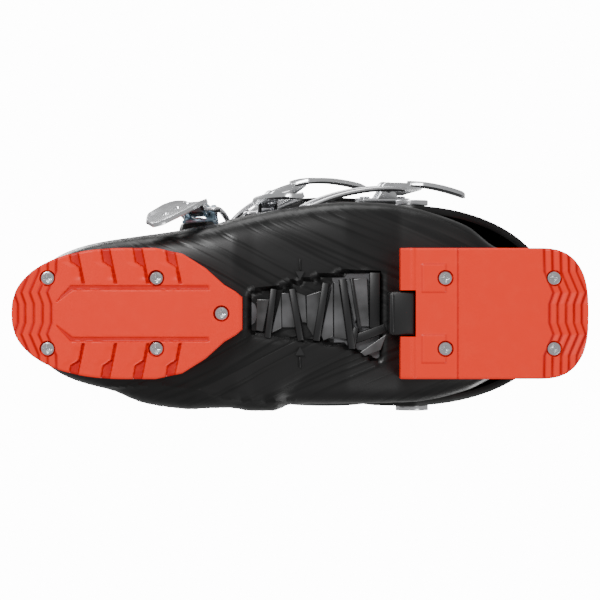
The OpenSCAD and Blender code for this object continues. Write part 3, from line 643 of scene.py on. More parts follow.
def shell_relief(spot, outward):
    """Moves one point of the shell's skin: arch field, flank ridges, instep flap and toe cap lines."""
    moved_by = Vector((0, 0, 0))
    if spot.z < 30 and -44 < spot.x < 28:
        inside = min(fair(ARCH_OUTER, spot.x) - spot.y, spot.y - fair(ARCH_INNER, spot.x),
                     spot.x + 44, 28 - spot.x)
        moved_by.z += ARCH_DEPTH * ease(inside / 1.8)
    moved_by += outward * (flow_ridges(spot) + inner_field(spot))
    if spot.z > 62 and outward.z > 0:
        seam = -9 + 0.03 * spot.x
        flap = ease((spot.y - seam) / 2.4) * ease((112 - spot.x) / 8) * ease((spot.z - 62) / 16)
        moved_by += outward * 1.3 * flap
        edge = 1 - min(1, abs(spot.y - seam) / 1.6)
        if spot.x < 110:
            moved_by -= outward * 0.9 * ease(edge)
    crease = 1 - min(1, abs(spot.x - 106 - 0.12 * abs(spot.y) + 0.22 * (spot.z - 40)) / 2.2)
    if spot.z > 34:
        moved_by -= outward * 0.55 * ease(crease)
    return moved_by


def make_shell():
    shell = foot_skin("shell_clog", SHELL_STATIONS, SHELL_CELLS, 0.0, SHELL_RIM,
                      lambda y: straight(HEEL_REACH, y) - HEEL_PLAY, swollen=True)
    normals = [v.normal.copy() for v in shell.data.vertices]
    for vert, normal in zip(shell.data.vertices, normals):
        vert.co += shell_relief(vert.co.copy(), normal)
    walled(shell, SHELL_WALL)
    rounded(shell, 0.9, 2, 50)
    smoothed(shell, 45)
    settled(shell, SHELL, "shell_black", "lower_shell")


SOLE_HALF = 34.5
TOE_TOP, HEEL_TOP = 15, 22          # where the soles end and the shell's ledges begin
TOE_LEDGE, HEEL_LEDGE = 19, 30
# the rounded end of each sole: the middle of its curve, its reach and its fullness
TOE_END = (90.5, 62, 2.3)
HEEL_END = (-125.5, -27, 2.7)


def sole_end(centre, reach, power):
    """Points round the rounded end of a sole, seen from below."""
    spots = []
    for k in range(49):
        a = math.radians(-90 + 180 * k / 48)
        spots.append((centre + reach * signed_power(math.cos(a), 2 / power),
                      SOLE_HALF * signed_power(math.sin(a), 2 / power)))
    return spots


def end_half(x, centre, reach, power):
    """Half the width of a sole at x, in its rounded end."""
    return SOLE_HALF * max(0.0, 1 - abs((x - centre) / reach) ** power) ** (1 / power)


def toe_outline():
    side = [(76, 34.5), (62, 31.5), (50, 24), (40, 15), (34, 11.5), (30.5, 8.5)]
    return sole_end(*TOE_END) + side + [(x, -y) for x, y in reversed(side)]


def heel_outline():
    return [(-53, SOLE_HALF)] + list(reversed(sole_end(*HEEL_END))) + [(-53, -SOLE_HALF)]


def make_ledges():
    toe = rounded(plate("toe_ledge", toe_outline(), TOE_TOP + 0.05, TOE_LEDGE), 0.7, 2)
    heel = rounded(plate("heel_ledge", heel_outline(), HEEL_TOP + 0.05, HEEL_LEDGE), 0.8, 2)
    for piece in (toe, heel):
        smoothed(piece, 35)
        settled(piece, SHELL, "plain_black")


def bar(name, start, end, width, low, high, taper=0.75):
    """A straight rib between two points seen from below, narrower at its lower face."""
    a, b = Vector(start), Vector(end)
    side = Vector((-(b - a).y, (b - a).x)).normalized() * width / 2
    piece = plate(name, [a + side, b + side, b - side, a - side], low, high)
    for vert in piece.data.vertices:
        if vert.co.z < (low + high) / 2:
            flat = Vector((vert.co.x, vert.co.y))
            along = (b - a).normalized()
            centre = a + along * (flat - a).dot(along)
            flat = centre + (flat - centre) * taper
            vert.co.x, vert.co.y = flat
    return rounded(piece, 0.35, 2)


# each rib under the arch: its two ends and its width
ARCH_RIBS = [((14.0, 13.0), (17.3, -13.1), 3.2),
             ((4.3, 13.0), (-0.4, -14.5), 3.2),
             ((-13.7, 16.2), (-8.7, -14.7), 3.4),
             ((-22.6, 18.3), (-27.8, -19.0), 3.4),
             ((-27.5, 18.8), (-31.3, -6.9), 1.4),
             ((-39.9, 21.7), (-39.9, -7.8), 5.4),
             ((-29.3, -13.7), (-45.5, -7.8), 4.6),
             ((-29.9, -7.5), (-27.8, -19.0), 2.6)]
# the four corners of each facet, painted light grey as a highlight, in the pockets between the ribs
ARCH_FACETS = [[(22.9, 7.4), (16.4, 7.4), (19.7, -9.9), (23.4, -9.1)],
               [(14.4, -6.9), (10.1, 9.5), (9.8, -7.8), (15.2, -10.5)],
               [(9.8, 10.8), (5.9, 10.8), (2.4, -7.5), (9.6, -7.5)],
               [(3.2, 11.8), (-2.9, 9.5), (-3.5, -4.9), (-1.1, -4.9)],
               [(-3.5, 9.5), (-11.4, 12), (-7.2, -12.6), (-3.7, -6.9)],
               [(-11.2, -11.5), (-17.6, 16.9), (-17.6, -12.3), (-12.5, -14.5)],
               [(-18.1, 16.7), (-20.8, 15.6), (-25, -13.9), (-18.1, -12.9)],
               [(-24, 17.7), (-26.9, 17.7), (-30.9, -0.9), (-29.3, -4.9)],
               [(-27.7, 18), (-35.7, 19.1), (-36.9, -7), (-31.4, -7)],
               [(-31.1, -21.5), (-46.3, -11), (-43.1, -19.5), (-34.6, -22.8)],
               [(-46.8, -11.8), (-46, -23.5), (-42.9, -25.9), (-43.4, -20.3)],
               [(-41.3, 24.4), (-47.9, 25.2), (-50.3, 14.4), (-46, 17.7)]]


def make_arch():
    """Slanting ribs, and facets painted light grey as highlights, across the recessed field of the arch."""
    parts = []
    for k, (a, b, width) in enumerate(ARCH_RIBS):
        low = straight(FLOOR_LINE, (a[0] + b[0]) / 2)
        foot = width + 1.2
        parts.append(bar("rib_%d" % k, a, b, foot, low - 0.1, low + ARCH_DEPTH + 1, width / foot))
    # the mid-sole mark: two small arrowheads, each with a short line
    for side in (1, -1):
        y = 19.5 * side
        arrow = [(-2.4, y + 2.8 * side), (2.4, y + 2.8 * side), (0, y - 1.8 * side)]
        parts.append(plate("centre_arrow", arrow, 15.6, 18))
        parts.append(bar("centre_line", (0, y + 3.6 * side), (0, y + 9.5 * side), 0.9, 15.8, 18))
    truss = joined(parts, "arch_truss")
    smoothed(truss, 35)
    settled(truss, SHELL, "plain_black")
    # facets that slope inside the pockets between the ribs, painted light grey as highlights
    facets = []
    for k, spots in enumerate(ARCH_FACETS):
        low = straight(FLOOR_LINE, spots[0][0])
        order = spots if k % 2 else list(reversed(spots))
        facet = plate("facet", order, low + 1.6, low + ARCH_DEPTH + 1.5)
        for vert in facet.data.vertices:
            if vert.co.z < low + 3:
                y = vert.co.y
                vert.co.z += 1.5 * ease((y + 12) / 26) if k % 2 else 1.3 * ease((14 - y) / 26)
        tidy_mesh(facet, 0.001, fill=False)
        facets.append(rounded(facet, 0.3, 2))
    floor = joined(facets, "arch_facets")
    settled(smoothed(floor, 20), SHELL, "facet_painted_highlight")


def make_lock_block():
    block = rounded(plate("heel_lock", [(-60.4, -11.4), (-48.2, -11.4), (-47, -10), (-47, 10),
                                        (-48.2, 11.4), (-60.4, 11.4)], 3.4, 21.9), 0.9, 3)
    lip = plate("heel_lock_lip", [(-49.6, -10.2), (-48.4, -10.2), (-48.4, 10.2), (-49.6, 10.2)], 2.8, 6)
    rounded(lip, 0.3, 2)
    piece = smoothed(joined([block, lip], "heel_lock_block"), 35)
    settled(piece, SHELL, "plain_black", "arch_lock_block")


# where the wavy steps and the slanting grooves start, and the line the steps follow
TOE_TREADS = (148.5, 144.7, 140.1, 135.3, 130.7)
HEEL_TREADS = (-148.4, -144.2, -140, -135.4, -131)
TOE_GROOVES = (115, 98, 81, 64)
TREAD_LINE = [(0, 0), (5, 0), (11, 2.1), (22, -2.6), (40, -3)]
TREAD_RISE = 1.15


def treads(spots, x, y, way):
    """Height of the wavy steps beyond these spots, and how much painted shade the point gets near a step's
    foot.
    """
    height, dark = 0.0, 0.0
    for spot in spots:
        past = way * (x - spot) - straight(TREAD_LINE, abs(y))
        height += TREAD_RISE * ease(past / 1.1 + 0.3)
        if past > 0.8:
            height -= 0.6 * ease((past - 0.8) / 3.0)
            height += 0.6 * ease((past - 3.8) / 0.8)
        dark = max(dark, ease(1.15 - abs(past - 0.3) / 1.3))
    return height, dark


def toe_underside(x, y):
    """Height of the toe sole's tread and how much painted shade it gets: wavy steps, grooves and the pad's
    edge.
    """
    height, dark = treads(TOE_TREADS, x, y, 1)
    side = abs(y)
    for spot in TOE_GROOVES:
        left = straight([(15.5, spot - 2), (36, spot + 2.2)], side)
        right = straight([(15.5, spot), (24.4, spot + 1.6), (27.3, spot + 6), (36, spot + 7.5)], side)
        inside = min(x - left, right - x, side - 15.5)
        height += 1.7 * ease(inside / 0.8)
        # painted shade down in the groove
        dark = max(dark, ease(inside / 0.8 + 0.4))
        height += 0.55 * ease((right + 5 - x) / 5) * ease((x - right) / 0.8) * ease((side - 17) / 3)
    if x > 47.7:
        inner = straight([(119.6, 12.1), (126.7, 6.8), (130, 4)], x)
        outer = straight([(120.8, 15.1), (128.4, 6.8), (130, 5)], x)
        inside = min(side - inner, outer - side, x - 47.7, 128.4 - x)
        height += 0.85 * ease(inside / 0.7)
        dark = max(dark, 0.75 * ease(inside / 0.7))
    return max(height, (32 - x) / 2, 0.0), dark


def heel_underside(x, y):
    """Height of the heel sole's tread and how much painted shade it gets: wavy steps, a low band and two
    pads.
    """
    height, dark = treads(HEEL_TREADS, x, y, -1)
    step = min(x + 83, -60.4 - x)
    height += 0.75 * ease(step / 0.8 + 0.4)
    # painted shade along the foot of the low band's step
    dark = max(dark, 0.8 * ease(1 - abs(step) / 0.9) if x < -70 else 0.0)
    # raised pads round the front screws
    pad = min(6.4 - abs(x + 70.5), 7.5 - abs(abs(y) - 18.6), 1.2)
    height -= 0.5 * ease(pad / 0.8 + 0.3)
    # painted shade round the pads' edges
    if x < -62:
        dark = max(dark, 0.5 * ease(1 - abs(pad) / 0.7))
    return max(height, (x + 58.4) * 0.49, 0.0), dark


TREAD_CELLS = 150           # cells across the tread
TOP_CELLS = 5               # cells across the flat top
POCKET_R, SCREW_HOLE_R = 4.3, 2.3
TOE_SCREWS = [(133, 18.6), (133, -18.6), (75.7, 18.6), (75.7, -18.6), (41.4, 0)]
HEEL_SCREWS = [(-76.6, 18.6), (-76.6, -18.6), (-133.9, 18.6), (-133.9, -18.6)]


def sole_stations(first, last, count):
    """X stations from first to last, crowded towards the rounded end."""
    crowd = 0.35
    return [first + (last - first) * ((1 - crowd) * k / count + crowd * math.sin(math.pi / 2 * k / count))
            for k in range(count + 1)]


def sole_block(name, stations, half_at, underside, top, screws, node, *notches):
    """A moulded sole: its tread is shaped point by point, then its holes are cut."""
    columns = TREAD_CELLS + 1 + TOP_CELLS
    rows = len(stations)
    marks = []

    def place(u, v):
        x = stations[round(u * (rows - 1))]
        half = half_at(x)
        k = round(v * columns)
        if k <= TREAD_CELLS:
            y = (2 * k / TREAD_CELLS - 1) * half
            height, dark = underside(x, y)
            height += 0.6 * (1 - ease((half - abs(y)) / 0.9))
            marks.append(dark)
            return Vector((x, y, height))
        marks.append(0.0)
        return Vector((x, half * (1 - 2 * (k - TREAD_CELLS - 1) / TOP_CELLS), top))

    block = sheet_grid(name, rows - 1, columns, place)
    # each point's painted shade, stored for the sole's finish
    layer = block.data.attributes.new("painted_shade", "FLOAT", "POINT")
    for spot, dark in zip(layer.data, marks):
        spot.value = dark
    # the last side wall, between the first and the last column
    mesh = bmesh.new()
    mesh.from_mesh(block.data)
    mesh.verts.ensure_lookup_table()
    for i in range(rows - 1):
        far = columns * rows + i
        mesh.faces.new([mesh.verts[j] for j in (i, i + 1, far + 1, far)])
    mesh.to_mesh(block.data)
    mesh.free()
    tidy_mesh(block, 0.01, fill=True)
    pockets = [rod("pocket", POCKET_R, 7, Matrix.Translation((x, y, -2)), 40) for x, y in screws]
    pockets = joined(pockets + list(notches), "pockets")
    holes = joined([rod("hole", SCREW_HOLE_R, 44, Matrix.Translation((x, y, -1)), 24) for x, y in screws],
                   "holes")
    cut_by(block, pockets, holes)
    smoothed(block, 42)
    settled(block, SHELL, "sole_red", node)


def make_toe_sole():
    outline = sorted((x, y) for x, y in toe_outline() if y >= 0)

    def half_at(x):
        return straight(outline, x) if x < TOE_END[0] else end_half(x, *TOE_END)

    sole_block("toe_tread", sole_stations(30.5, 152.5, 250), half_at, toe_underside, TOE_TOP,
               TOE_SCREWS, "toe_sole")


def make_heel_sole():
    def half_at(x):
        return SOLE_HALF if x > HEEL_END[0] else end_half(x, *HEEL_END)

    notch = plate("notch", [(-61, 12.2), (-40, 12.2), (-40, -12.2), (-61, -12.2)], -1, 24)
    sole_block("heel_tread", sole_stations(-53, -152.5, 210), half_at, heel_underside, HEEL_TOP,
               HEEL_SCREWS, "heel_sole", notch)


make_shell()
make_ledges()
make_arch()
make_lock_block()
make_toe_sole()
make_heel_sole()
for node in ("toe_sole_screws", "heel_sole_screws"):
    refined(node, SHELL, "steel", 0.18, 2)
refined("boot_board", SHELL, "board_grey", 0.0)

# ---------------------------------------------------------------- cuff

CUFF_ROUND = 270
CUFF_TALL = 66
CUFF_WALL = 4.0
WRAP_START, WRAP_END = 20.0, -378.0


def cuff_edge(table, a, guess):
    """The height at which the leg's side at angle a meets this edge line."""
    z = guess
    for _ in range(40):
        z += 0.6 * (straight(table, leg_point(z, a).x) - z)
    return z


def make_cuff():
    angles = even_angles(WRAP_START, WRAP_END, CUFF_ROUND)
    edges = [(cuff_edge(CUFF_LOW, a, 90), cuff_edge(CUFF_HIGH, a, 275)) for a in angles]

    def place(u, v):
        k = round(u * CUFF_ROUND)
        a = angles[k]
        low, high = edges[k]
        z = low + (high - low) * v
        # the outer flap passes over the inner one across the shin
        over = 4.7 * ease((-308 - a) / 17)
        tuck = -0.4 * ease((a + 6) / 16)
        spot = leg_point(z, a, over + tuck)
        # a shallow waist band and a rolled rim give the wall its relief
        rim = 0.9 * ease((z - high + 7) / 3) + 0.7 * ease((low + 5 - z) / 3)
        groove = 0.8 * ease(1 - abs(z - high + 12) / 2.2)
        rib = 0.16 * math.sin((z - spot.x * 0.35) * 0.33) ** 2
        rib *= ease((z - low - 10) / 30) * ease((high - 20 - z) / 30)
        out = Vector((spot.x - (fair(LEG_BACK, z) + fair(LEG_FRONT, z)) / 2, spot.y, 0)).normalized()
        return spot + out * (rim - groove + rib - 0.5)

    cuff = sheet_grid("cuff_wrap", CUFF_ROUND, CUFF_TALL, place)
    faced(cuff, len(cuff.data.polygons) // 3, on_axis(-40))
    walled(cuff, CUFF_WALL)
    rounded(cuff, 0.8, 2, 50)
    smoothed(cuff, 45)
    settled(cuff, CUFF, "cuff_black", "cuff")


SPOILER_ROUND, SPOILER_TALL = 60, 26


def make_spoiler():
    angles = even_angles(-122, -238, SPOILER_ROUND)

    def place(u, v):
        side = abs(u - 0.5) * 2
        z = 228 + v * (80 - 22 * side ** 2.2)
        return leg_point(z, angles[round(u * SPOILER_ROUND)], -5.2)

    spoiler = sheet_grid("spoiler_wrap", SPOILER_ROUND, SPOILER_TALL, place)
    # the face looked at is on the middle line, at the back
    faced(spoiler, SPOILER_ROUND * 6 + SPOILER_ROUND // 2, on_axis(0))
    walled(spoiler, 2.3)
    smoothed(rounded(spoiler, 0.7, 2, 50))
    settled(spoiler, CUFF, "plain_black", "rear_spoiler")


make_cuff()
make_spoiler()
refined("spine_plate", CUFF, "plain_black", 0.8, 3)
refined("spine_screws", CUFF, "steel", 0.25, 2)
for node in ("pivot_bolt_outer", "pivot_bolt_inner"):
    refined(node, CUFF, "steel", 0.4, 3)
for node in ("pivot_bush_outer", "pivot_bush_inner"):
    refined(node, SHELL, "bush_dark", 0.2, 2)

# ---------------------------------------------------------------- liner


def sock_point(z, a, out=0.0):
    return leg_point(z, a, out, 9.0, SOCK_OUTER, SOCK_INNER)


def pad_swell(t, edge):
    """How full a pad is at t from 0 to 1: it falls away towards both edges."""
    return ease(t / edge) * ease((1 - t) / edge)


def over_the_top(face, u, v, turn_at, crown):
    """A point of a padded sheet that runs up face(u, height, False), over the top and down its back."""
    if v <= turn_at:
        return face(u, v / turn_at, False)
    if v >= 1 - turn_at:
        return face(u, (1 - v) / turn_at, True)
    t = (v - turn_at) / (1 - 2 * turn_at)
    spot = face(u, 1, False).lerp(face(u, 1, True), t)
    spot.z += crown * math.sin(math.pi * t)
    return spot


def soft_pad(pad, node):
    """Closes a padded sheet of the liner, softens it and lets it ride on the cuff."""
    tidy_mesh(pad, 0.01, fill=True)
    apply_modifier(pad, "SMOOTH", factor=0.5, iterations=2)
    smoothed(pad, 60)
    settled(pad, CUFF, "liner_knit", node)


COLLAR_LOW = 96.0
COLLAR_FRONT = 37.0         # degrees from the middle of the shin to the collar's front edge
COLLAR_ROUND, COLLAR_TALL = 150, 200
COLLAR_TOP = [(-150, 309), (-70, 309), (-20, 295), (30, 287), (100, 287)]
QUILT_LOW = 215


def make_collar():
    span = 360 - 2 * COLLAR_FRONT
    angles = [COLLAR_FRONT + span * k / COLLAR_ROUND for k in range(COLLAR_ROUND + 1)]

    def top_at(a):
        return straight(COLLAR_TOP, sock_point(290, a).x)

    def wall_point(u, v, inside):
        a = angles[round(u * COLLAR_ROUND)]
        top = top_at(a)
        z = COLLAR_LOW + (top - 1 - COLLAR_LOW) * v
        full = pad_swell(u, 0.05)
        high = ease((top - z) / 9)
        quilt = 0.0
        if z > QUILT_LOW:
            lane = (z - 0.22 * sock_point(z, a).x) / 17.0
            quilt = 1.1 * abs(math.sin(math.pi * lane)) ** 0.45
            quilt *= ease((z - QUILT_LOW) / 20) * ease((top - 12 - z) / 6)
        heel = 1.6 * ease(1 - abs(a - 180) / 24) * ease((z - 200) / 30)
        if inside:
            return sock_point(z, a, -4.8 - 0.9 * full * high - 0.7 * quilt)
        return sock_point(z, a, -1.4 + (0.3 * high + 0.72 * quilt) * full + heel * 0.5)

    soft_pad(sheet_grid("liner_collar", COLLAR_ROUND, COLLAR_TALL,
                        lambda u, v: over_the_top(wall_point, u, v, 0.47, 1.9)), "liner_cuff")
    # the bound edge along the collar's top
    bound = [sock_point(top_at(a) - 1, a, -3.2) + Vector((0, 0, 1.0)) for a in angles[2:-2]]
    edge = wire("collar_binding", bound, 1.9, sides=3)
    settled(smoothed(edge), CUFF, "liner_binding")


def make_foot_liner():
    """The foot half of the liner: a deep padded slipper inside the shell."""
    rim = [(-140, 108), (-60, 123), (-40, 135), (-26, 144), (60, 149)]
    foot = foot_skin("liner_slipper", 120, 110, 5.4, rim, lambda y: straight(HEEL_REACH, y) - 6.2, 14.5)
    walled(foot, 4.4)
    rounded(foot, 1.3, 3, 55)
    smoothed(foot, 60)
    settled(foot, SHELL, "liner_lining", "liner_foot")


TONGUE_LOW, TONGUE_TOP = 155.0, 317.0
TONGUE_HALF = 30.0


def make_tongue():
    def face_point(u, v, back):
        """u runs across the shin and v up it."""
        z = TONGUE_LOW + (TONGUE_TOP - TONGUE_LOW) * v
        z -= 6 * (2 * u - 1) ** 2 * ease((v - 0.85) / 0.15)
        y = (2 * u - 1) * TONGUE_HALF
        front = fair(LEG_FRONT, z) - 9
        half = (front - fair(LEG_BACK, z) - 9) / 2
        wide_here = fair(SOCK_OUTER, z) if y > 0 else fair(SOCK_INNER, z)
        c = max(0.0, 1 - abs(y / wide_here) ** 2.6) ** (1 / 2.6)
        x = front - half + half * c
        lean = 2.2 * ease((z - 290) / 27)
        full = pad_swell(u, 0.16) * pad_swell(v, 0.05)
        quilt = abs(math.sin(math.pi * (z - TONGUE_LOW) / 19.0)) ** 0.4
        if back:
            return Vector((x - 5.0 - 2.6 * full * (0.45 + 0.55 * quilt) + lean, y, z))
        return Vector((x - 1.6 + 1.0 * full * (0.5 + 0.5 * quilt) + lean, y, z))

    def rim_point(u, v):
        return face_point(u, v, False).lerp(face_point(u, v, True), 0.5)

    soft_pad(sheet_grid("tongue_pad", 40, 220,
                        lambda u, v: over_the_top(face_point, u, v, 0.48, 1.6)), "liner_tongue")
    # the bound edge runs up the inner side, over the top and down the outer side
    down = [1 - k / 40 for k in range(1, 22)]
    rim = [rim_point(0, v) for v in reversed(down)]
    rim += [rim_point(k / 40, 1) + Vector((0, 0, 0.6)) for k in range(41)]
    rim += [rim_point(1, v) for v in down]
    edge = wire("tongue_binding", rim, 1.7, sides=3)
    settled(smoothed(edge), CUFF, "liner_binding")


LOOP_FOOT, LOOP_RISE, LOOP_HALF = 310.6, 13.6, 14.2


def make_pull_loop():
    def place(u, v):
        a = math.pi * u
        rise = LOOP_RISE * math.sin(a) ** 0.85 if 0 < u < 1 else 0.0
        width = 13 - 1.5 * math.sin(a)
        return Vector((-79 + (v - 0.5) * width, LOOP_HALF * math.cos(a), LOOP_FOOT + rise))

    loop = walled(sheet_grid("pull_loop", 40, 10, place), 1.5)
    smoothed(rounded(loop, 0.4, 2, 50))
    settled(loop, CUFF, "strap_webbing", "liner_pull_loop")


make_collar()
make_foot_liner()
make_tongue()
make_pull_loop()

# ---------------------------------------------------------------- power strap

STRAP_ROUND = 240


def strap_low(x):
    return 252.5 - x * 0.035


def strap_high(x):
    return 291 - x * 0.045


def strap_band(name, first, last, margin, lift, thickness, cells, finish, *stands_for):
    """One layer of the strap between two angles, set in by margin from the strap's edges."""
    angles = even_angles(first, last, cells)

    def place(u, v):
        a = angles[round(u * cells)]
        x = leg_point(270, a).x
        low, high = strap_low(x) + margin, strap_high(x) - margin
        return leg_point(low + (high - low) * v, a, lift(a) + 0.35 * math.sin(math.pi * v))

    band = faced(sheet_grid(name, cells, 18, place), 0, on_axis(-20))
    walled(band, thickness)
    smoothed(rounded(band, 0.35, 2, 50))
    settled(band, CUFF, finish, *stands_for)


def make_strap():
    strap_band("strap_band", 34, -374, 0, lambda a: 2.6 + 2.5 * ease((-318 - a) / 12), 1.9, STRAP_ROUND,
               "strap_webbing", "power_strap")
    strap_band("strap_hook_tape", -16, -52, 3, lambda a: 3.4, 0.8, 24, "hook_tape")
    strap_band("strap_end_tab", -366, -386, 1, lambda a: 6.6, 1.6, 16, "plain_black")
    # rows of stitches at the back and by the end tab
    stitches = []
    for a, out in ((-172, 3.4), (-188, 3.4), (-356, 5.9), (-362, 5.9)):
        for k in range(11):
            z = 256 + 3.1 * k
            p, q = leg_point(z, a, out), leg_point(z + 1.9, a, out)
            rise = (p - Vector((-20, 0, z))).normalized() * 0.25
            stitches.append(wire("stitch", [p, (p + q) / 2 + rise, q], 0.32, sides=2))
    settled(smoothed(joined(stitches, "strap_stitches")), CUFF, "thread_grey")
    refined("power_strap_rivets", CUFF, "steel", 0.5, 3)


make_strap()

# ---------------------------------------------------------------- buckles

BASE_W, HINGE_H, THROW, WIRE_R, WIRE_Y = 17.0, 7.5, 9.0, 1.5, 11.0
BLADE_START = -14           # where a lever's blade begins, behind its hinge
RACK_GAP, RACK_THICK = 0.3, 2.0
# each buckle: where its hinge is, how it is turned, the bail's bend and notch, and the blade's curve
BUCKLES = {
    "toe": dict(at=(54, 54.5, 59.4), yaw=2, roll=9, lean=-10, bend=75, notch=30,
                sweep=46, drop=20, long=44, body=SHELL),
    "instep": dict(at=(20, 53, 88), yaw=5, roll=15, lean=8, bend=70, notch=30,
                   sweep=-40, drop=9, long=40, body=SHELL),
    "lower_cuff": dict(at=(-50, 71.8, 164), yaw=0, roll=-3, lean=100, bend=110, notch=26,
                       sweep=-8, drop=11, long=33, body=CUFF),
    "upper_cuff": dict(at=(16, 69.5, 228), yaw=20, roll=-8, lean=104, bend=60, notch=40,
                       sweep=10, drop=20, long=42, body=CUFF),
}


def turn(axis, degrees):
    return Matrix.Rotation(math.radians(degrees), 4, axis)


def buckle_frame(b):
    """+X towards the ladder, +Y along the hinge and +Z out of the shell, at the lever's hinge."""
    return (Matrix.Translation(b["at"]) @ turn("Z", -b["yaw"]) @ turn("X", b["roll"])
            @ turn("X", -90) @ turn("Z", -90) @ turn("Z", b["lean"]))


def on_bend(b, degrees, y=0.0, rise=0.0):
    r = math.hypot(b["bend"], THROW) + rise
    a = math.radians(degrees)
    return Vector((r * math.sin(a), y, r * math.cos(a) - b["bend"]))


def blade_line(b, t):
    """The middle of a lever's blade, seen from above it, from its root at t = 0 to its tip at 1."""
    sweep = math.radians(b["sweep"] * t)
    k = b["long"] / math.radians(b["sweep"])
    return Vector((BLADE_START - k * math.sin(sweep), k * (1 - math.cos(sweep)), 0))


def blade_half(t):
    return straight([(0, 5.6), (0.2, 9), (0.55, 9.5), (0.9, 7), (0.97, 5), (1, 3.4)], t)


def below(centre):
    """For faced(): a point under the face."""
    return centre - Vector((0, 0, 1))


def side_plates(name, outline, thickness, reach, bevel):
    """Two flat plates that stand up on both sides of the hinge, reach away from its middle."""
    pair = []
    for side in (-1, 1):
        cheek = plate(name, outline, -thickness / 2, thickness / 2)
        moved(cheek, Matrix.Translation((0, side * reach, 0)) @ turn("X", 90))
        tidy_mesh(cheek, 0.001, fill=False)
        pair.append(rounded(cheek, bevel, 2))
    return pair


def clipped(rear, front, half, rear_cut, front_cut, side_cut):
    """The outline of a rectangle with its four corners cut off."""
    low_side = [(rear, side_cut - half), (rear + rear_cut, -half),
                (front - front_cut, -half), (front, side_cut - half)]
    return low_side + [(x, -y) for x, y in reversed(low_side)]


def make_lever(name, b):
    """Cast lever: a curved blade with raised rims and finger holes, and two cheeks at its hinge."""
    def drop(x):
        return b["drop"] * max(0.0, (BLADE_START - x) / 44) ** 1.7

    def place(u, v):
        spot = blade_line(b, u)
        a = math.radians(b["sweep"] * u)
        side = 2 * v - 1
        spot += Vector((math.sin(a), math.cos(a), 0)) * side * blade_half(u)
        rim = 0.9 * ease((abs(side) - 0.72) / 0.2) * ease((1.02 - u) / 0.1)
        dish = -0.5 * (1 - side * side)
        return spot + Vector((0, 0, 3.9 - drop(spot.x) + rim + dish))

    blade = walled(faced(sheet_grid(name + "_blade", 44, 14, place), 0, below), 2.4)
    cutters = []
    for t in (0.32, 0.54, 0.76):
        at = blade_line(b, t)
        under = Matrix.Translation((at.x, at.y, -8 - drop(at.x)))
        cutters.append(rod("finger_hole", 3.1 - 1.8 * t, 20, under, 20))
    cut_by(blade, *cutters)
    rounded(blade, 0.4, 2, 50)
    cheek = arc(3.8, -90, 90) + [(-9, 3.8), (-20, 3.2), (-22, 1.4), (-20, -0.6), (-12, -2.8), (-9, -3.8)]
    lever = joined([blade] + side_plates("cheek", cheek, 2, 4.4, 0.35), name + "_handle")
    moved(lever, buckle_frame(b))
    smoothed(lever, 40)
    settled(lever, name + "_lever_body", "buckle_alloy", name + "_lever")


def make_base(name, b):
    """Riveted bracket with two ears at the pin, and the moulded pad under it."""
    half = BASE_W / 2
    foot = plate("foot", clipped(-13, 17, half, 2, 2, 2), -HINGE_H + 0.05, -HINGE_H + 2.2)
    rounded(foot, 0.5, 2)
    ear = arc(4.2, -20, 200) + [(-6.5, -HINGE_H + 1), (7.5, -HINGE_H + 1)]
    base = joined([foot] + side_plates("ear", ear, 2.5, half - 1.3, 0.4), name + "_bracket")
    moved(base, buckle_frame(b))
    settled(smoothed(base, 35), b["body"], "block_blue_grey" if name == "toe" else "buckle_alloy",
            name + "_buckle_base")
    pad = plate(name + "_bracket_pad", clipped(-15, 19, half + 0.5, 2.5, 3, 2.5), -HINGE_H - 6, -HINGE_H)
    for vert in pad.data.vertices:
        if vert.co.z < -HINGE_H - 3:
            vert.co.x = 2 + (vert.co.x - 2) * 1.12
            vert.co.y *= 1.16
    rounded(pad, 0.8, 3)
    moved(pad, buckle_frame(b))
    settled(smoothed(pad, 40), b["body"], "plain_black")


def bend_block(name, b, from_mm, to_mm, low, high, half, cells=24):
    """A block that follows the bail's bend, from one arc length to another past the notch."""
    per = 180 / math.pi / b["bend"]
    ring = [(-half, low), (half, low), (half, high), (-half, high)]

    def place(u, v):
        y, rise = ring[round(v * 4) % 4]
        return on_bend(b, b["notch"] + (from_mm + (to_mm - from_mm) * u) * per, y, rise)

    piece = sheet_grid(name, cells, 4, place)
    return tidy_mesh(piece, 0.001, fill=True)


def make_ladder(name, b):
    """Riveted rack with three teeth, and the moulded seat under it."""
    under = WIRE_R + RACK_GAP + RACK_THICK
    parts = [rounded(bend_block("rack", b, -13, 21, -under, RACK_THICK - under, 7.5), 0.4, 2)]
    for k in range(3):
        at = (k - 0.5) * 6.5
        tooth = bend_block("tooth", b, at - 1.25, at + 1.25, 1.6 - under, 5 - under, 7.4, 3)
        parts.append(rounded(tooth, 0.35, 2))
    ladder = joined(parts, name + "_rack")
    moved(ladder, buckle_frame(b))
    settled(smoothed(ladder, 35), b["body"], "buckle_alloy", name + "_ladder")
    seat = bend_block(name + "_rack_seat", b, -15, 23, -under - 12, -under - 0.05, 8.3)
    for vert in seat.data.vertices:
        depth = math.hypot(vert.co.x, vert.co.z + b["bend"]) - (math.hypot(b["bend"], THROW) - under)
        if depth < -6:
            vert.co.y *= 1.35
    rounded(seat, 0.9, 3)
    moved(seat, buckle_frame(b))
    settled(smoothed(seat, 40), b["body"], "plain_black")


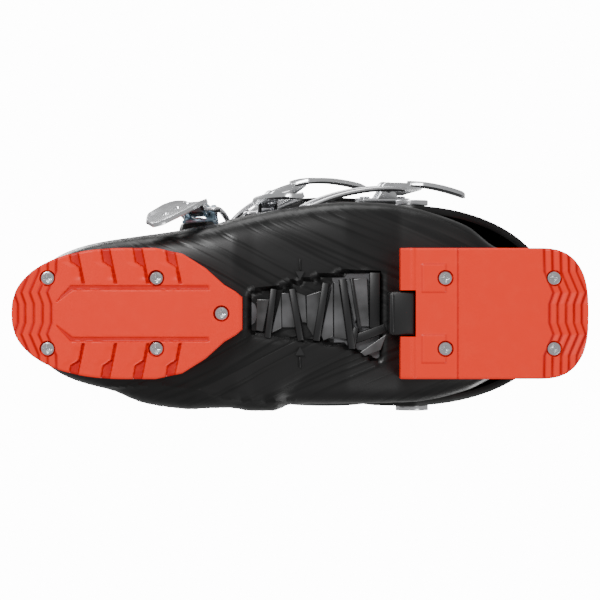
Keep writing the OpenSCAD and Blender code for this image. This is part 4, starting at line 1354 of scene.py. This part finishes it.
def make_bail(name, b):
    """The wire loop, from inside one cheek round the rack's notch to the other."""
    start = -math.degrees(math.asin(THROW / math.hypot(b["bend"], THROW)))
    steps = 30

    def leg(side):
        return [on_bend(b, start + (b["notch"] - start) * k / steps, side * WIRE_Y)
                for k in range(steps + 1)]

    out = leg(1)
    path = [Vector((-THROW, 2.2, 0)), Vector((-THROW, WIRE_Y, 0)), out[3]]
    points = [path[0]] + corner(path, 1, 2.2) + out[3:-3]
    far = [out[-4], on_bend(b, b["notch"], WIRE_Y), on_bend(b, b["notch"], 0)]
    points += corner(far, 1, 2.4)
    mirror = [Vector((p[0], -p[1], p[2])) for p in points]
    bail = wire(name + "_loop", points + list(reversed(mirror)), WIRE_R, sides=5)
    moved(bail, buckle_frame(b))
    settled(smoothed(bail), name + "_bail_body", "steel", name + "_bail")


for buckle, spec in BUCKLES.items():
    make_lever(buckle, spec)
    make_base(buckle, spec)
    make_ladder(buckle, spec)
    make_bail(buckle, spec)
    refined(buckle + "_lever_pin", buckle + "_lever_body", "steel", 0.3, 2)
    refined(buckle + "_bail_barrel", buckle + "_bail_body", "dark_steel", 0.4, 2)
    refined(buckle + "_buckle_rivets", spec["body"], "steel", 0.3, 2)
    refined(buckle + "_ladder_rivets", spec["body"], "steel", 0.3, 2)
refined("instep_gasket", SHELL, "gasket", 0.6, 2)

# ---------------------------------------------------------------- studio


def make_studio():
    scene = bpy.context.scene
    world = scene.world or bpy.data.worlds.new("studio")
    scene.world = world
    world.use_nodes = True
    tree = world.node_tree
    tree.nodes.clear()
    out = tree.nodes.new("ShaderNodeOutputWorld")
    mix = tree.nodes.new("ShaderNodeMixShader")
    soft = tree.nodes.new("ShaderNodeBackground")
    seen = tree.nodes.new("ShaderNodeBackground")
    rays = tree.nodes.new("ShaderNodeLightPath")
    for background, strength in ((soft, 0.42), (seen, 14.0)):
        background.inputs["Color"].default_value = (1, 1, 1, 1)
        background.inputs["Strength"].default_value = strength
    tree.links.new(rays.outputs["Is Camera Ray"], mix.inputs[0])
    tree.links.new(soft.outputs[0], mix.inputs[1])
    tree.links.new(seen.outputs[0], mix.inputs[2])
    tree.links.new(mix.outputs[0], out.inputs["Surface"])

    let_go()
    bpy.ops.mesh.primitive_plane_add(size=8, location=(0, 0, 0))
    floor = named(bpy.context.object, "studio_floor")
    pale = bpy.data.materials.new("studio_pale")
    pale.use_nodes = True
    nodes, links = pale.node_tree.nodes, pale.node_tree.links
    clear = nodes.new("ShaderNodeBsdfTransparent")
    both = nodes.new("ShaderNodeMixShader")
    facing = nodes.new("ShaderNodeNewGeometry")
    nodes["Principled BSDF"].inputs["Base Color"].default_value = (0.86, 0.86, 0.86, 1)
    nodes["Principled BSDF"].inputs["Roughness"].default_value = 0.8
    links.new(facing.outputs["Backfacing"], both.inputs[0])
    links.new(nodes["Principled BSDF"].outputs[0], both.inputs[1])
    links.new(clear.outputs[0], both.inputs[2])
    links.new(both.outputs[0], nodes["Material Output"].inputs["Surface"])
    floor.data.materials.append(pale)
    for ray in ("visible_diffuse", "visible_glossy", "visible_transmission", "visible_shadow"):
        setattr(floor, ray, False)

    def lamp(name, at, target, size, power):
        light = bpy.data.lights.new(name, "AREA")
        light.shape = "DISK"
        light.size = size
        light.energy = power
        obj = bpy.data.objects.new(name, light)
        scene.collection.objects.link(obj)
        obj.location = at
        obj.rotation_euler = (Vector(target) - Vector(at)).to_track_quat("-Z", "Y").to_euler()

    middle = (0, 0, 0.12)
    lamp("under_key", (0.45, 0.75, -1.15), middle, 0.45, 15)
    lamp("under_fill", (-0.9, -0.7, -1.0), middle, 0.8, 7)
    lamp("over_key", (0.9, 1.0, 1.5), middle, 1.0, 30)
    lamp("over_fill", (-1.1, -1.1, 1.2), middle, 1.2, 20)
    lamp("side_soft", (0.2, 1.8, 0.2), middle, 1.2, 14)

    camera = bpy.data.cameras.new("view_from_below")
    obj = bpy.data.objects.new("view_from_below", camera)
    scene.collection.objects.link(obj)
    # the view is 0.3156 m wide at the walking surface
    distance, span = 1.5, 0.3156
    camera.lens = 50
    camera.sensor_width = span / distance * camera.lens
    obj.location = (0, 0.0071, -distance)
    obj.rotation_euler = (math.pi, 0, math.pi)
    camera.clip_start = 0.05
    scene.camera = obj


make_studio()
